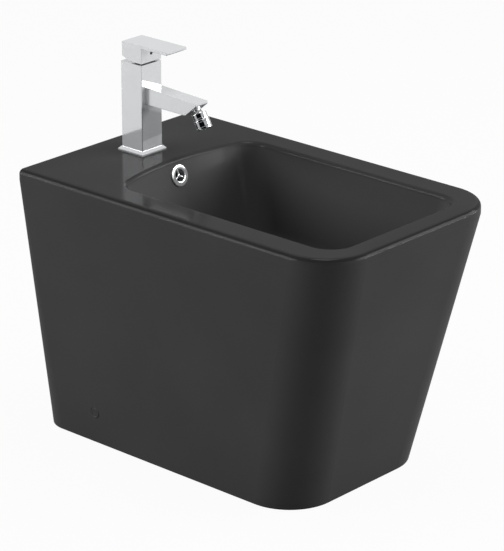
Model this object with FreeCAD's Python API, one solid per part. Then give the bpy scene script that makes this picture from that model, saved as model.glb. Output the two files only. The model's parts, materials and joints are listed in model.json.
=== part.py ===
import FreeCAD, Part

import math
import os

from FreeCAD import Placement, Rotation, Vector

# Floor-standing bidet that backs onto a wall, with a single-lever tap, a swivel nozzle,
# a push-button waste, a bottle trap and hidden floor brackets. Millimetres. The origin is
# on the floor under the middle of the ceramic, +Z is up, the user faces -Y, the wall is +Y.

# Working values
OVERRUN = 2.0
SEAT_GAP = 0.02
RUN_GAP = 0.05
LOOSE_GAP = 0.3
PICK = 0.3

# Ceramic pedestal
WIDTH = 352.0
DEPTH = 570.0
RIM_Z = 390.0
SIDE_SETBACK = 33.0
FOOT_WIDTH = WIDTH - 2 * SIDE_SETBACK
FOOT_SETBACK = 88.0
BAND_HEIGHT = 16.5
FRONT_CORNER = 70.0
REAR_CORNER_TOP = 8.5
REAR_CORNER_FOOT = 43.0
REAR_CORNER_REACH = 20.0
RIM_ROUND = 8.0
WALL = 14.0
DECK = 16.0
HOLLOW_REAR_CORNER = 20.0
SERVICE_HALF_WIDTH = 95.0
SERVICE_HEIGHT = 250.0
SERVICE_CORNER = 40.0

# Bowl
BOWL_HALF_WIDTH = 131.0
BOWL_FRONT_MARGIN = 33.5
DECK_REACH = 134.0
BOWL_FRONT_Y = BOWL_FRONT_MARGIN - DEPTH / 2
BOWL_REAR_Y = DEPTH / 2 - DECK_REACH
BOWL_REAR_ARCH_R = 385.0
BOWL_DEPTH = 150.0
BOWL_SIDE_RUN = 18.0
BOWL_FRONT_RUN = 46.0
BOWL_REAR_RUN = 44.0
BOWL_CORNER = 36.0
BOWL_UNDER_CORNER = 24.0
BOWL_EDGE_ROUND = 6.0
DISH_R = 76.0
DISH_DEPTH = 5.0

# Waste
DRAIN_Y = -10.0
WASTE_R = 20.8
WASTE_WALL = 2.4
WASTE_LENGTH = 74.0
WASTE_HOLE_GAP = 2.2
WASTE_HOLE_R = WASTE_R + WASTE_HOLE_GAP
FLANGE_COVER = 8.5
FLANGE_R = WASTE_HOLE_R + FLANGE_COVER
FLANGE_THICK = 2.6
SLOT_COUNT = 4
SLOT_WIDTH = 8.0
SLOT_HEIGHT = 8.0
NUT_COVER = 6.0
NUT_R = WASTE_HOLE_R + NUT_COVER
NUT_HEIGHT = 9.0
NUT_SIDES = 8
PLUG_INSET = 1.0
PLUG_R = FLANGE_R - PLUG_INSET
PLUG_THICK = 4.2
PLUG_LIFT = 9.0
PLUG_STEM_R = 5.0
PLUG_STEM_GRIP = 10.0
GUIDE_WALL = 2.5
GUIDE_DROP = 28.0
GUIDE_LENGTH = 16.0

# Overflow
OVERFLOW_DROP = 23.0
OVERFLOW_HOLE_R = 11.5
OVERFLOW_COVER = 4.0
OVERFLOW_RING_R = OVERFLOW_HOLE_R + OVERFLOW_COVER
OVERFLOW_FLANGE = 2.0
OVERFLOW_TAIL_WALL = 2.6
OVERFLOW_BORE_R = OVERFLOW_HOLE_R - LOOSE_GAP - OVERFLOW_TAIL_WALL
OVERFLOW_TAIL = 12.0
OVERFLOW_WEBS = 3
OVERFLOW_WEB = 1.8
OVERFLOW_HUB_R = 2.6
DUCT_WIDTH = 34.0
DUCT_DEPTH = 10.0
DUCT_COVER = 8.0
DUCT_WALL = 6.0
DUCT_TOP = 13.0
ANNULUS_RUN = 7.0
ANNULUS_R = WASTE_HOLE_R + ANNULUS_RUN
DRAIN_BOSS_R = ANNULUS_R + ANNULUS_RUN

# Bottle trap
TRAP_PIPE_R = 16.0
TRAP_PIPE_WALL = 1.8
TRAP_NUT_WALL = 2.7
TRAP_NUT_R = WASTE_R + TRAP_NUT_WALL
TRAP_NUT_HEIGHT = 14.0
TRAP_NUT_FLOOR = 6.2
TRAP_BRANCH_WALL = 2.4
TRAP_BRANCH_NECK = 2.5
TRAP_BODY_R = 29.0
TRAP_BODY_TOP = 136.0
TRAP_BODY_BOTTOM = 76.0
TRAP_CUP_BOTTOM = 46.0
TRAP_CUP_WALL = 3.0
TRAP_CUP_GRIP = 12.0
TRAP_WALL = 2.6
TRAP_OUTLET_Z = 112.0
TRAP_DIP_Z = 60.0
TRAP_TURN = 8.0
OUTLET_END_GAP = 6.0
OUTLET_SLEEVE_WALL = 4.0
OUTLET_SLEEVE_LENGTH = 30.0

# Floor brackets and side fixings
FIXING_INSET = 114.0
FIXING_Y = DEPTH / 2 - FIXING_INSET
FIXING_Z = 47.0
FIXING_HOLE_R = 8.0
FIXING_CAP_R = FIXING_HOLE_R - LOOSE_GAP
FIXING_CAP_THICK = 2.4
FIXING_CAP_PROUD = 0.4
SLEEVE_START = 4.6
SIDE_SCREW_R = 2.75
SLEEVE_BORE_R = SIDE_SCREW_R + RUN_GAP
SIDE_SCREW_HEAD_R = 5.2
SIDE_SCREW_HEAD = 2.0
SIDE_SCREW_LENGTH = 34.0
BRACKET_WIDTH = 52.0
BRACKET_UPRIGHT = 10.0
BRACKET_TALL = 68.0
BRACKET_FOOT = 50.0
BRACKET_FOOT_THICK = 8.0
BRACKET_RIB = 5.0
BRACKET_RIB_RUN = 30.0
FLOOR_HOLE_R = 4.5
FLOOR_HOLE_SPACING = 28.0
FLOOR_HOLE_INSET = 24.0

# Tap body
TAP_INSET = 70.0
TAP_Y = DEPTH / 2 - TAP_INSET
SPIGOT_R = 16.0
TAP_HOLE_GAP = 1.5
TAP_HOLE_R = SPIGOT_R + TAP_HOLE_GAP
COLUMN = 40.0
COLUMN_TOP = 129.5
COLUMN_EDGE = 0.8
BASE_MARGIN = 4.0
BASE_PLATE_EDGE = 1.6
BASE_PLATE_HEIGHT = 5.0
SPOUT_WIDTH = 24.0
SPOUT_UNDER = 72.0
SPOUT_ROOT_TOP = 97.0
SPOUT_TIP_TOP = 93.0
SPOUT_REACH = 115.0
SPOUT_TIP_Y = TAP_Y - SPOUT_REACH
SPOUT_NOSE = 4.0
SPOUT_EDGE = 0.7
OUTLET_SLOPE = 40.0
INLET_X = 7.0
INLET_Y = 3.0
INLET_R = 4.5
INLET_DEPTH = 14.0
STUD_Y = 9.5

# Cartridge, depths measured down from the top of the column
CARTRIDGE_R = 12.7
CARTRIDGE_WALL = 2.6
CARTRIDGE_BORE_R = CARTRIDGE_R - CARTRIDGE_WALL
CARTRIDGE_BASE = 6.0
CHAMBER_DEPTH = 37.5
CHAMBER_R = CARTRIDGE_R + LOOSE_GAP
NUT_SEAT_DEPTH = 10.9
NUT_SEAT_LEDGE = 2.5
NUT_THREAD_R = CHAMBER_R + NUT_SEAT_LEDGE
NUT_TOP_DEPTH = 0.2
CARRIER_ROOM = 1.8
CARRIER_R = CARTRIDGE_BORE_R - CARRIER_ROOM
CARRIER_HEIGHT = 11.6
ROTOR_FLANGE = 6.0
ROTOR_SHOULDER = 0.9
ROTOR_NECK_R = CARTRIDGE_BORE_R - ROTOR_SHOULDER
ROTOR_TOP_DEPTH = 1.0
PIVOT_DROP = 11.5
LEVER_ARM = 9.0
LIFT_ANGLE = 16.0
SPINDLE = 7.0
SPINDLE_NOSE_R = 2.6
SPINDLE_NOSE = 2.4
SPINDLE_NOSE_ROOM = 0.5
SPINDLE_WAIST_R = 1.9
SPINDLE_RISE = 19.0
PIN_R = 1.5
PIN_INSET = 0.7
PIN_LENGTH = 2 * (ROTOR_NECK_R - PIN_INSET)

# Lever
LEVER_GAP = 2.1
LEVER_BLOCK = 22.2
PADDLE_THICK = 4.6
PADDLE_REACH = 68.5
PADDLE_FRONT_Y = TAP_Y - PADDLE_REACH
PADDLE_NOSE = 1.0
LEVER_REAR_INSET = 2.4
LEVER_CUT = 13.0
LEVER_CUT_RISE = 6.0
LEVER_EDGE = 0.6
LEVER_WALL = 3.2
LEVER_RIB = 3.0
LEVER_BOSS = 17.0
LEVER_CEILING = 5.0
LIFT_CLEARANCE = 0.4
GRUB_R = 2.5
GRUB_LENGTH = 7.0
GRUB_BELOW_PADDLE = 9.6
GRUB_KEY_R = 1.3
GRUB_KEY_DEPTH = 2.5

# Swivel nozzle
BALL_R = 7.5
NECK_LENGTH = 1.5
BALL_REACH = BALL_R + NECK_LENGTH
BALL_GAP = 0.2
BALL_CROWN = 2.9
STEM_FLANGE_R = 6.4
STEM_FLANGE = 1.2
NECK_R = 4.4
STEM_BORE_R = 2.7
STEM_BORE_DEPTH = 17.0
LINER_WALL = 1.2
LINER_R = BALL_R + BALL_GAP + LINER_WALL
LINER_START = -1.9
LINER_WIDTH = 3.9
NECK_RING = 1.0
COLLAR_RISE = 3.0
COLLAR_LIP = 1.0
COLLAR_LENGTH = 9.4
LINER_ROOM = 0.4
NOZZLE_THREAD_R = LINER_R + LINER_ROOM
COLLAR_WALL = 1.1
COLLAR_R = NOZZLE_THREAD_R + COLLAR_WALL
NOZZLE_START = 2.2
NOZZLE_BORE_WALL = 1.3
NOZZLE_BORE_R = NOZZLE_THREAD_R - NOZZLE_BORE_WALL
NOZZLE_STEP = 0.8
NOZZLE_R = COLLAR_R + NOZZLE_STEP
NOZZLE_LENGTH = 14.0
NOZZLE_REST_ANGLE = 29.0
INSERT_LENGTH = 8.0
INSERT_RECESS = 1.2
INSERT_CELL = 2.6
INSERT_RIB = 0.5
INSERT_RINGS = 2

# Tap fixing under the deck
STUD_R = 4.0
STUD_LENGTH = 62.0
STUD_IN_BODY = 11.0
HORSESHOE_R = 25.0
HORSESHOE_SLOT_R = 13.5
HORSESHOE_CORNER = 12.0
HORSESHOE_RUBBER = 2.5
HORSESHOE_PLATE = 2.0
STUD_NUT_FLAT = 11.0
STUD_NUT_HEIGHT = 14.0


def cylinder(radius, foot, axis, length):
    return Part.makeCylinder(radius, length, foot, axis)


def tube(outer, inner, foot, axis, length):
    step = Vector(axis).normalize() * OVERRUN
    hole = cylinder(inner, foot - step, axis, length + 2 * OVERRUN)
    return cylinder(outer, foot, axis, length).cut(hole)


def block(x0, x1, y0, y1, z0, z1):
    return Part.makeBox(x1 - x0, y1 - y0, z1 - z0, Vector(x0, y0, z0))


def fused(shapes):
    shapes = list(shapes)
    whole = shapes[0]
    if len(shapes) > 1:
        whole = whole.multiFuse(shapes[1:])
    return whole.removeSplitter()


def polygon(points):
    return Part.makePolygon(points + points[:1])


def prism_x(profile, half_width):
    points = [Vector(-half_width, y, z) for y, z in profile]
    return Part.Face(polygon(points)).extrude(Vector(2 * half_width, 0, 0))


def turned(profile):
    points = [Vector(r, 0, z) for r, z in profile]
    return Part.Face(polygon(points)).revolve(Vector(0, 0, 0), Vector(0, 0, 1), 360)


def mirrored(shape):
    return shape.mirror(Vector(0, 0, 0), Vector(1, 0, 0))


def mirrored_pair(shape):
    return Part.makeCompound([shape, mirrored(shape)])


# A prism with equal sides round an axis, "radius" to its flats
def nut_prism(radius, sides, foot, axis, height):
    turn = Rotation(Vector(0, 0, 1), axis)
    reach = radius / math.cos(math.pi / sides)
    angles = [(i + 1 / 2) * 2 * math.pi / sides for i in range(sides)]
    corners = [foot + turn.multVec(Vector(math.cos(a), math.sin(a), 0) * reach) for a in angles]
    return Part.Face(polygon(corners)).extrude(Vector(axis) * height)


# A solid with four leaning walls between two level rectangles, each given as its half
# width, front, rear and height
def frustum(low, high):
    half, front, rear, z = low
    high_half, high_front, high_rear, high_z = high
    sizes = (-half, z, -rear, -high_rear, -high_half, half, high_z, -front, -high_front, high_half)
    shape = Part.makeWedge(*sizes)
    shape.rotate(Vector(0, 0, 0), Vector(1, 0, 0), 90)
    return shape


def leaning_edges(shape, height, front):
    edges = [e for e in shape.Edges if abs(e.Vertexes[0].Z - e.Vertexes[-1].Z) > height / 2]
    return [e for e in edges if (e.BoundBox.YMin < 0) == front]


def taper_height():
    return RIM_Z - BAND_HEIGHT


def side_x(z):
    return FOOT_WIDTH / 2 + SIDE_SETBACK * z / taper_height()


def front_y(z):
    return -DEPTH / 2 + FOOT_SETBACK * (1 - z / taper_height())


def pedestal_level(z, inset):
    return side_x(z) - inset, front_y(z) + inset, DEPTH / 2 - inset, z


# The rear corners open out towards the floor. Each is a cone that is tangent to the side
# and to the back, swept by a ball whose radius grows evenly as its centre goes down.
def rear_ball(z):
    radius = REAR_CORNER_FOOT + (REAR_CORNER_TOP - REAR_CORNER_FOOT) * z / taper_height()
    lean = math.atan(SIDE_SETBACK / taper_height())
    centre = Vector(side_x(z) - radius / math.cos(lean), DEPTH / 2 - radius, z)
    return centre, radius, lean


def rear_corner_waste():
    low_z = -OVERRUN
    high_z = taper_height() + OVERRUN
    low, low_r, lean = rear_ball(low_z)
    high, high_r, lean = rear_ball(high_z)
    axis = high - low
    half_angle = math.asin((low_r - high_r) / axis.Length)
    radii = (low_r / math.cos(half_angle), high_r / math.cos(half_angle))
    cone = Part.makeCone(*radii, axis.Length, low, axis)
    cone.rotate(low, axis, 180)
    slip = math.sin(lean) / axis.z
    sideways = Vector(math.cos(lean) + slip * axis.x, slip * axis.y, 0)
    wires = []
    for centre, radius in ((low, low_r), (high, high_r)):
        reach = radius + REAR_CORNER_REACH
        back = Vector(0, reach, 0)
        side = sideways * reach
        wires.append(polygon([centre, centre + side, centre + side + back, centre + back]))
    return Part.makeLoft(wires, True, True).cut(cone)


# The front corners keep one radius at every height: an arc pushed along the corner's edge.
def front_corner_waste(low_z, high_z, inset, radius):
    half, front, rear, z = pedestal_level(high_z, inset)
    low_half, low_front, rear, z = pedestal_level(low_z, inset)
    sink = radius * (1 - math.sqrt(1 / 2))
    side_end = Vector(half, front + radius, high_z)
    front_end = Vector(half - radius, front, high_z)
    arc = Part.Arc(side_end, Vector(half - sink, front + sink, high_z), front_end).toShape()
    out = Vector(OVERRUN, 0, 0)
    ahead = Vector(0, -OVERRUN, 0)
    corner = Vector(half, front, high_z) + out + ahead
    outside = Part.makePolygon([front_end, front_end + ahead, corner, side_end + out, side_end])
    slope = Vector(low_half - half, low_front - front, low_z - high_z)
    return Part.Face(Part.Wire([arc] + outside.Edges)).extrude(slope)


def pedestal_shell():
    top = taper_height()
    taper = frustum(pedestal_level(0, 0), pedestal_level(top, 0))
    for waste in (front_corner_waste(-OVERRUN, top, 0, FRONT_CORNER), rear_corner_waste()):
        taper = taper.cut(waste).cut(mirrored(waste))
    crown = [f for f in taper.Faces if f.BoundBox.ZMin > top - PICK]
    band = crown[0].extrude(Vector(0, 0, BAND_HEIGHT))
    shell = taper.fuse(band).removeSplitter()
    rim = [e for e in shell.Edges if e.BoundBox.ZMin > RIM_Z - PICK]
    return shell.makeFillet(RIM_ROUND, rim)


def pedestal_hollow():
    top = RIM_Z - DECK
    hollow = frustum(pedestal_level(-OVERRUN, WALL), pedestal_level(top, WALL))
    waste = front_corner_waste(-2 * OVERRUN, top, WALL, FRONT_CORNER - WALL)
    hollow = hollow.cut(waste).cut(mirrored(waste))
    return hollow.makeFillet(HOLLOW_REAR_CORNER, leaning_edges(hollow, top, False))


def service_opening():
    y0 = DEPTH / 2 - WALL - OVERRUN
    y1 = DEPTH / 2 + OVERRUN
    half = SERVICE_HALF_WIDTH
    opening = block(-half, half, y0, y1, -OVERRUN, SERVICE_HEIGHT)
    upper = [e for e in opening.Edges if e.BoundBox.ZMin > SERVICE_HEIGHT - PICK]
    return opening.makeFillet(SERVICE_CORNER, [e for e in upper if e.BoundBox.YLength > WALL])


# The bowl's walls at a height, pushed outwards by "grow" for the ceramic's underside
def bowl_level(z, grow):
    share = (RIM_Z - z) / BOWL_DEPTH
    half = BOWL_HALF_WIDTH - BOWL_SIDE_RUN * share + grow
    front = BOWL_FRONT_Y + BOWL_FRONT_RUN * share - grow
    return half, front, rear_wall_y(z, grow), z


def rear_wall_y(z, cover):
    lean = math.atan(BOWL_REAR_RUN / BOWL_DEPTH)
    return BOWL_REAR_Y - BOWL_REAR_RUN * (RIM_Z - z) / BOWL_DEPTH + cover / math.cos(lean)


def bowl_blank(low, high, grow):
    return frustum(bowl_level(low, grow), bowl_level(high, grow))


# The rear wall is part of an upright cone, so that the bowl's rear edge is a shallow arch.
def bowl_form():
    low = RIM_Z - BOWL_DEPTH
    high = RIM_Z + OVERRUN
    reach = BOWL_REAR_ARCH_R - BOWL_REAR_Y
    radii = [rear_wall_y(z, 0) + reach for z in (low, high)]
    wall = Part.makeCone(*radii, high - low, Vector(0, -reach, low), Vector(0, 0, 1))
    wall.rotate(Vector(0, -reach, low), Vector(0, 0, 1), 180)
    form = bowl_blank(low, high, PICK).common(wall)
    form = form.makeFillet(BOWL_CORNER, lower_edges(form, low, BOWL_DEPTH))
    dish_low = bowl_floor_z()
    dish = Part.makeCone(FLANGE_R + FLANGE_THICK, DISH_R, DISH_DEPTH, Vector(0, DRAIN_Y, dish_low))
    return form.fuse(dish)


def bowl_underside():
    low = RIM_Z - BOWL_DEPTH - WALL
    under = bowl_blank(low, RIM_Z, WALL)
    return under.makeChamfer(BOWL_UNDER_CORNER, lower_edges(under, low, BOWL_DEPTH))


def lower_edges(shape, low, height):
    floor_edges = [e for e in shape.Edges if e.BoundBox.ZMax < low + PICK]
    return leaning_edges(shape, height, True) + leaning_edges(shape, height, False) + floor_edges


def bowl_floor_z():
    return RIM_Z - BOWL_DEPTH - DISH_DEPTH


# The overflow's passage runs down behind the bowl's rear wall and under its floor to a
# ring round the drain, inside a swelling of the ceramic.
def duct_band(near, far, half_width, top, end_y):
    floor = RIM_Z - BOWL_DEPTH
    levels = [(RIM_Z - top, floor - cover, cover) for cover in (near, far)]
    inner, outer = [[(rear_wall_y(z, cover), z) for z in (high, low)] for high, low, cover in levels]
    ends = [(end_y, outer[1][1]), (end_y, inner[1][1])]
    return prism_x([inner[0], outer[0], outer[1]] + ends + [inner[1]], half_width)


def duct_swelling():
    far = DUCT_COVER + DUCT_DEPTH + DUCT_WALL
    return duct_band(DUCT_COVER, far, DUCT_WIDTH / 2 + DUCT_WALL, DUCT_TOP, DRAIN_Y)


def duct_passage():
    passage = duct_band(DUCT_COVER, DUCT_COVER + DUCT_DEPTH, DUCT_WIDTH / 2, DUCT_TOP, DRAIN_Y + WASTE_R)
    foot = Vector(0, DRAIN_Y, annulus_z() - DUCT_DEPTH / 2)
    return passage.fuse(cylinder(ANNULUS_R, foot, Vector(0, 0, 1), DUCT_DEPTH))


def annulus_z():
    return RIM_Z - BOWL_DEPTH - DUCT_COVER - DUCT_DEPTH / 2 - DISH_DEPTH / 2


def boss_low_z():
    return annulus_z() - DUCT_DEPTH / 2 - DUCT_WALL


def overflow_seat():
    z = RIM_Z - OVERFLOW_DROP
    return Vector(0, rear_wall_y(z, 0), z)


def overflow_axis():
    lean = math.atan(BOWL_REAR_RUN / BOWL_DEPTH)
    return Vector(0, -math.cos(lean), math.sin(lean))


def ceramic_body():
    low = boss_low_z()
    down = Vector(0, 0, -1)
    boss = cylinder(DRAIN_BOSS_R, Vector(0, DRAIN_Y, bowl_floor_z()), down, bowl_floor_z() - low)
    hollow = pedestal_hollow().cut(bowl_underside()).cut(boss).cut(duct_swelling())
    body = pedestal_shell().cut(hollow).cut(service_opening()).cut(bowl_form())
    drain_top = Vector(0, DRAIN_Y, bowl_floor_z() + OVERRUN)
    drain = cylinder(WASTE_HOLE_R, drain_top, down, drain_top.z - low + OVERRUN)
    tap_hole = cylinder(TAP_HOLE_R, Vector(0, TAP_Y, RIM_Z + OVERRUN), down, DECK + 2 * OVERRUN)
    seat = overflow_seat() + overflow_axis() * WALL
    overflow = cylinder(OVERFLOW_HOLE_R, seat, -overflow_axis(), WALL + DUCT_COVER + DUCT_DEPTH / 2)
    body = body.cut(drain).cut(tap_hole).cut(overflow).cut(duct_passage())
    side_hole = cylinder(FIXING_HOLE_R, Vector(-WIDTH / 2, FIXING_Y, FIXING_Z), Vector(1, 0, 0), WIDTH)
    body = body.cut(side_hole)
    return body.makeFillet(BOWL_EDGE_ROUND, [e for e in body.Edges if bowl_mouth_edge(e)])


def bowl_mouth_edge(edge):
    box = edge.BoundBox
    inside_x = max(abs(box.XMin), abs(box.XMax)) < BOWL_HALF_WIDTH + PICK * 2
    inside_y = box.YMin > BOWL_FRONT_Y - PICK * 2 and box.YMax < BOWL_REAR_Y + PICK
    return box.ZMin > RIM_Z - PICK and inside_x and inside_y


def overflow_ring():
    tail_r = OVERFLOW_HOLE_R - LOOSE_GAP
    profile = [
        (OVERFLOW_BORE_R, -OVERFLOW_TAIL),
        (tail_r, -OVERFLOW_TAIL),
        (tail_r, SEAT_GAP),
        (OVERFLOW_RING_R, SEAT_GAP),
        (OVERFLOW_RING_R, OVERFLOW_FLANGE),
        (OVERFLOW_BORE_R, OVERFLOW_FLANGE),
    ]
    axis = Vector(0, 0, 1)
    parts = [turned(profile), cylinder(OVERFLOW_HUB_R, axis * -OVERFLOW_WEB, axis, OVERFLOW_WEB)]
    half = OVERFLOW_WEB / 2
    for index in range(OVERFLOW_WEBS):
        web = block(-half, half, 0, OVERFLOW_BORE_R + half, -OVERFLOW_WEB, 0)
        web.rotate(Vector(0, 0, 0), Vector(0, 0, 1), index * 360 / OVERFLOW_WEBS)
        parts.append(web)
    ring = fused(parts)
    sag = BOWL_REAR_ARCH_R - math.sqrt(BOWL_REAR_ARCH_R**2 - OVERFLOW_RING_R**2)
    turn = Rotation(Vector(0, 0, 1), overflow_axis())
    ring.Placement = Placement(overflow_seat() + overflow_axis() * sag, turn)
    return ring


def fixing_point(depth):
    return Vector(side_x(FIXING_Z) - depth, FIXING_Y, FIXING_Z)


def fixing_caps():
    start = fixing_point(-FIXING_CAP_PROUD)
    return mirrored_pair(cylinder(FIXING_CAP_R, start, Vector(-1, 0, 0), FIXING_CAP_THICK))


def bracket_face_x():
    return FOOT_WIDTH / 2 - WALL - LOOSE_GAP


def fixing_sleeves():
    inward = Vector(-1, 0, 0)
    start = fixing_point(SLEEVE_START)
    return mirrored_pair(tube(FIXING_CAP_R, SLEEVE_BORE_R, start, inward, start.x - bracket_face_x()))


def side_fixing_screws():
    inward = Vector(-1, 0, 0)
    start = fixing_point(SLEEVE_START)
    head = cylinder(SIDE_SCREW_HEAD_R, start - inward * SIDE_SCREW_HEAD, inward, SIDE_SCREW_HEAD)
    shank = cylinder(SIDE_SCREW_R, start, inward, SIDE_SCREW_LENGTH)
    return mirrored_pair(fused([head, shank]))


def floor_brackets():
    face = bracket_face_x()
    back = face - BRACKET_UPRIGHT
    toe = back - BRACKET_FOOT
    y0 = FIXING_Y - BRACKET_WIDTH / 2
    y1 = FIXING_Y + BRACKET_WIDTH / 2
    upright = block(back, face, y0, y1, 0, BRACKET_TALL)
    foot = block(toe, back, y0, y1, 0, BRACKET_FOOT_THICK)
    rib_top = BRACKET_TALL - BRACKET_FOOT_THICK
    corners = ((back, BRACKET_FOOT_THICK), (back - BRACKET_RIB_RUN, BRACKET_FOOT_THICK), (back, rib_top))
    rib = Part.Face(polygon([Vector(x, 0, z) for x, z in corners])).extrude(Vector(0, BRACKET_RIB, 0))
    ribs = [rib.translated(Vector(0, y, 0)) for y in (y0, FIXING_Y - BRACKET_RIB / 2, y1 - BRACKET_RIB)]
    bracket = fused([upright, foot] + ribs)
    tap_start = Vector(face + OVERRUN, FIXING_Y, FIXING_Z)
    bracket = bracket.cut(cylinder(SIDE_SCREW_R + SEAT_GAP, tap_start, Vector(-1, 0, 0), SIDE_SCREW_LENGTH))
    for side in (-1, 1):
        centre = Vector(toe + FLOOR_HOLE_INSET, FIXING_Y + side * FLOOR_HOLE_SPACING / 2, -OVERRUN)
        hole = cylinder(FLOOR_HOLE_R, centre, Vector(0, 0, 1), BRACKET_FOOT_THICK + 2 * OVERRUN)
        bracket = bracket.cut(hole)
    return mirrored_pair(bracket)


# Heights in the waste, from the bowl's floor down
def flange_under_z():
    return bowl_floor_z() + SEAT_GAP


def flange_top_z():
    return flange_under_z() + FLANGE_THICK


def waste_tube_top():
    return flange_under_z() - SEAT_GAP


def drain_point(z):
    return Vector(0, DRAIN_Y, z)


def guide_top_z():
    return waste_tube_top() - GUIDE_DROP


def waste_body():
    up = Vector(0, 0, 1)
    low = waste_tube_top() - WASTE_LENGTH
    bore_r = WASTE_R - WASTE_WALL
    barrel = cylinder(WASTE_R, drain_point(low), up, flange_top_z() - low)
    flange = cylinder(FLANGE_R, drain_point(flange_under_z()), up, FLANGE_THICK)
    body = fused([barrel, flange])
    body = body.cut(cylinder(bore_r, drain_point(low - OVERRUN), up, flange_top_z() - low + 2 * OVERRUN))
    slot_low = annulus_z() - SLOT_HEIGHT / 2
    slot_end = WASTE_R + OVERRUN
    slot = block(-SLOT_WIDTH / 2, SLOT_WIDTH / 2, bore_r / 2, slot_end, slot_low, slot_low + SLOT_HEIGHT)
    for index in range(SLOT_COUNT):
        opening = slot.copy()
        opening.rotate(Vector(0, 0, 0), up, index * 360 / SLOT_COUNT)
        body = body.cut(opening.translated(drain_point(0)))
    half = PLUG_STEM_R + GUIDE_WALL
    reach = WASTE_R - WASTE_WALL / 2
    guide_low = guide_top_z() - GUIDE_LENGTH
    guide = block(-reach, reach, DRAIN_Y - half, DRAIN_Y + half, guide_low, guide_top_z())
    guide = guide.common(cylinder(reach, drain_point(guide_low), up, GUIDE_LENGTH))
    bore = cylinder(PLUG_STEM_R + RUN_GAP, drain_point(guide_low - OVERRUN), up, GUIDE_LENGTH + 2 * OVERRUN)
    return fused([body, guide]).cut(bore)


def waste_back_nut():
    up = Vector(0, 0, 1)
    foot = drain_point(boss_low_z() - SEAT_GAP - NUT_HEIGHT)
    bore = cylinder(WASTE_R + SEAT_GAP, foot - up * OVERRUN, up, NUT_HEIGHT + 2 * OVERRUN)
    return nut_prism(NUT_R, NUT_SIDES, foot, up, NUT_HEIGHT).cut(bore)


def waste_plug():
    up = Vector(0, 0, 1)
    under = flange_top_z() + PLUG_LIFT
    stem_end = guide_top_z() - PLUG_STEM_GRIP
    stem = cylinder(PLUG_STEM_R, drain_point(stem_end), up, under - stem_end)
    return fused([cylinder(PLUG_R, drain_point(under), up, PLUG_THICK), stem])


# Bottle trap: the dip tube stands in the cup's water, which the branch drains
def trap_joint_z():
    return waste_tube_top() - WASTE_LENGTH - SEAT_GAP


def trap_body():
    up = Vector(0, 0, 1)
    rear = Vector(0, 1, 0)
    inner = TRAP_BODY_R - TRAP_WALL
    joint = trap_joint_z()
    low = TRAP_BODY_BOTTOM
    shell = cylinder(TRAP_BODY_R, drain_point(low), up, TRAP_BODY_TOP - low)
    nut = nut_prism(TRAP_NUT_R, NUT_SIDES, drain_point(joint - TRAP_NUT_FLOOR), up, TRAP_NUT_HEIGHT)
    neck_low = TRAP_BODY_TOP - TRAP_WALL
    neck = cylinder(TRAP_PIPE_R, drain_point(neck_low), up, joint - neck_low)
    branch_start = Vector(0, DRAIN_Y + TRAP_PIPE_R, TRAP_OUTLET_Z)
    cup_r = TRAP_BODY_R + SEAT_GAP + TRAP_CUP_WALL
    branch_nut_foot = Vector(0, DRAIN_Y + cup_r + TRAP_BRANCH_NECK, TRAP_OUTLET_Z)
    branch_length = branch_nut_foot.y + TRAP_WALL - branch_start.y
    branch = cylinder(TRAP_PIPE_R + TRAP_BRANCH_WALL, branch_start, rear, branch_length)
    branch_nut = nut_prism(TRAP_NUT_R, NUT_SIDES, branch_nut_foot, rear, TRAP_NUT_HEIGHT)
    body = fused([shell, nut, neck, branch, branch_nut])
    body = body.cut(cylinder(inner, drain_point(low - OVERRUN), up, neck_low - low + OVERRUN))
    body = body.cut(cylinder(WASTE_R + SEAT_GAP, drain_point(joint), up, TRAP_NUT_HEIGHT))
    dip = cylinder(TRAP_PIPE_R, drain_point(TRAP_DIP_Z), up, TRAP_BODY_TOP - TRAP_DIP_Z)
    outlet_start = Vector(0, DRAIN_Y + (inner + TRAP_PIPE_R) / 2, TRAP_OUTLET_Z)
    outlet = cylinder(TRAP_PIPE_R + SEAT_GAP, outlet_start, rear, cup_r + 2 * TRAP_NUT_HEIGHT)
    bore_low = TRAP_DIP_Z - OVERRUN
    bore = cylinder(TRAP_PIPE_R - TRAP_PIPE_WALL, drain_point(bore_low), up, joint - bore_low + OVERRUN)
    return turned_to_outlet(fused([body, dip]).cut(outlet).cut(bore))


# The trap is turned a little, so that its pipe passes beside the supply hoses' way down.
def turned_to_outlet(shape):
    shape.rotate(drain_point(0), Vector(0, 0, 1), TRAP_TURN)
    return shape


def trap_cup():
    up = Vector(0, 0, 1)
    bore_r = TRAP_BODY_R + SEAT_GAP
    top = TRAP_BODY_BOTTOM + TRAP_CUP_GRIP
    cup = cylinder(bore_r + TRAP_CUP_WALL, drain_point(TRAP_CUP_BOTTOM), up, top - TRAP_CUP_BOTTOM)
    return cup.cut(cylinder(bore_r, drain_point(TRAP_CUP_BOTTOM + TRAP_CUP_WALL), up, top))


def outlet_end_y():
    return DRAIN_Y + (DEPTH / 2 - OUTLET_END_GAP - DRAIN_Y) / math.cos(math.radians(TRAP_TURN))


# The pipe ends in a thicker sleeve, which the wall's waste socket grips.
def trap_outlet_pipe():
    rear = Vector(0, 1, 0)
    start = Vector(0, DRAIN_Y + TRAP_BODY_R, TRAP_OUTLET_Z)
    length = outlet_end_y() - start.y
    sleeve_start = start + rear * (length - OUTLET_SLEEVE_LENGTH)
    sleeve = cylinder(TRAP_PIPE_R + OUTLET_SLEEVE_WALL, sleeve_start, rear, OUTLET_SLEEVE_LENGTH)
    pipe = fused([cylinder(TRAP_PIPE_R, start, rear, length), sleeve])
    bore = cylinder(TRAP_PIPE_R - TRAP_PIPE_WALL, start - rear * OVERRUN, rear, length + 2 * OVERRUN)
    return turned_to_outlet(pipe.cut(bore))


# Tap: heights above the deck are turned into heights above the floor here
def tap_z(height):
    return RIM_Z + height


def tap_point(x, y, height):
    return Vector(x, TAP_Y + y, tap_z(height))


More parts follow.
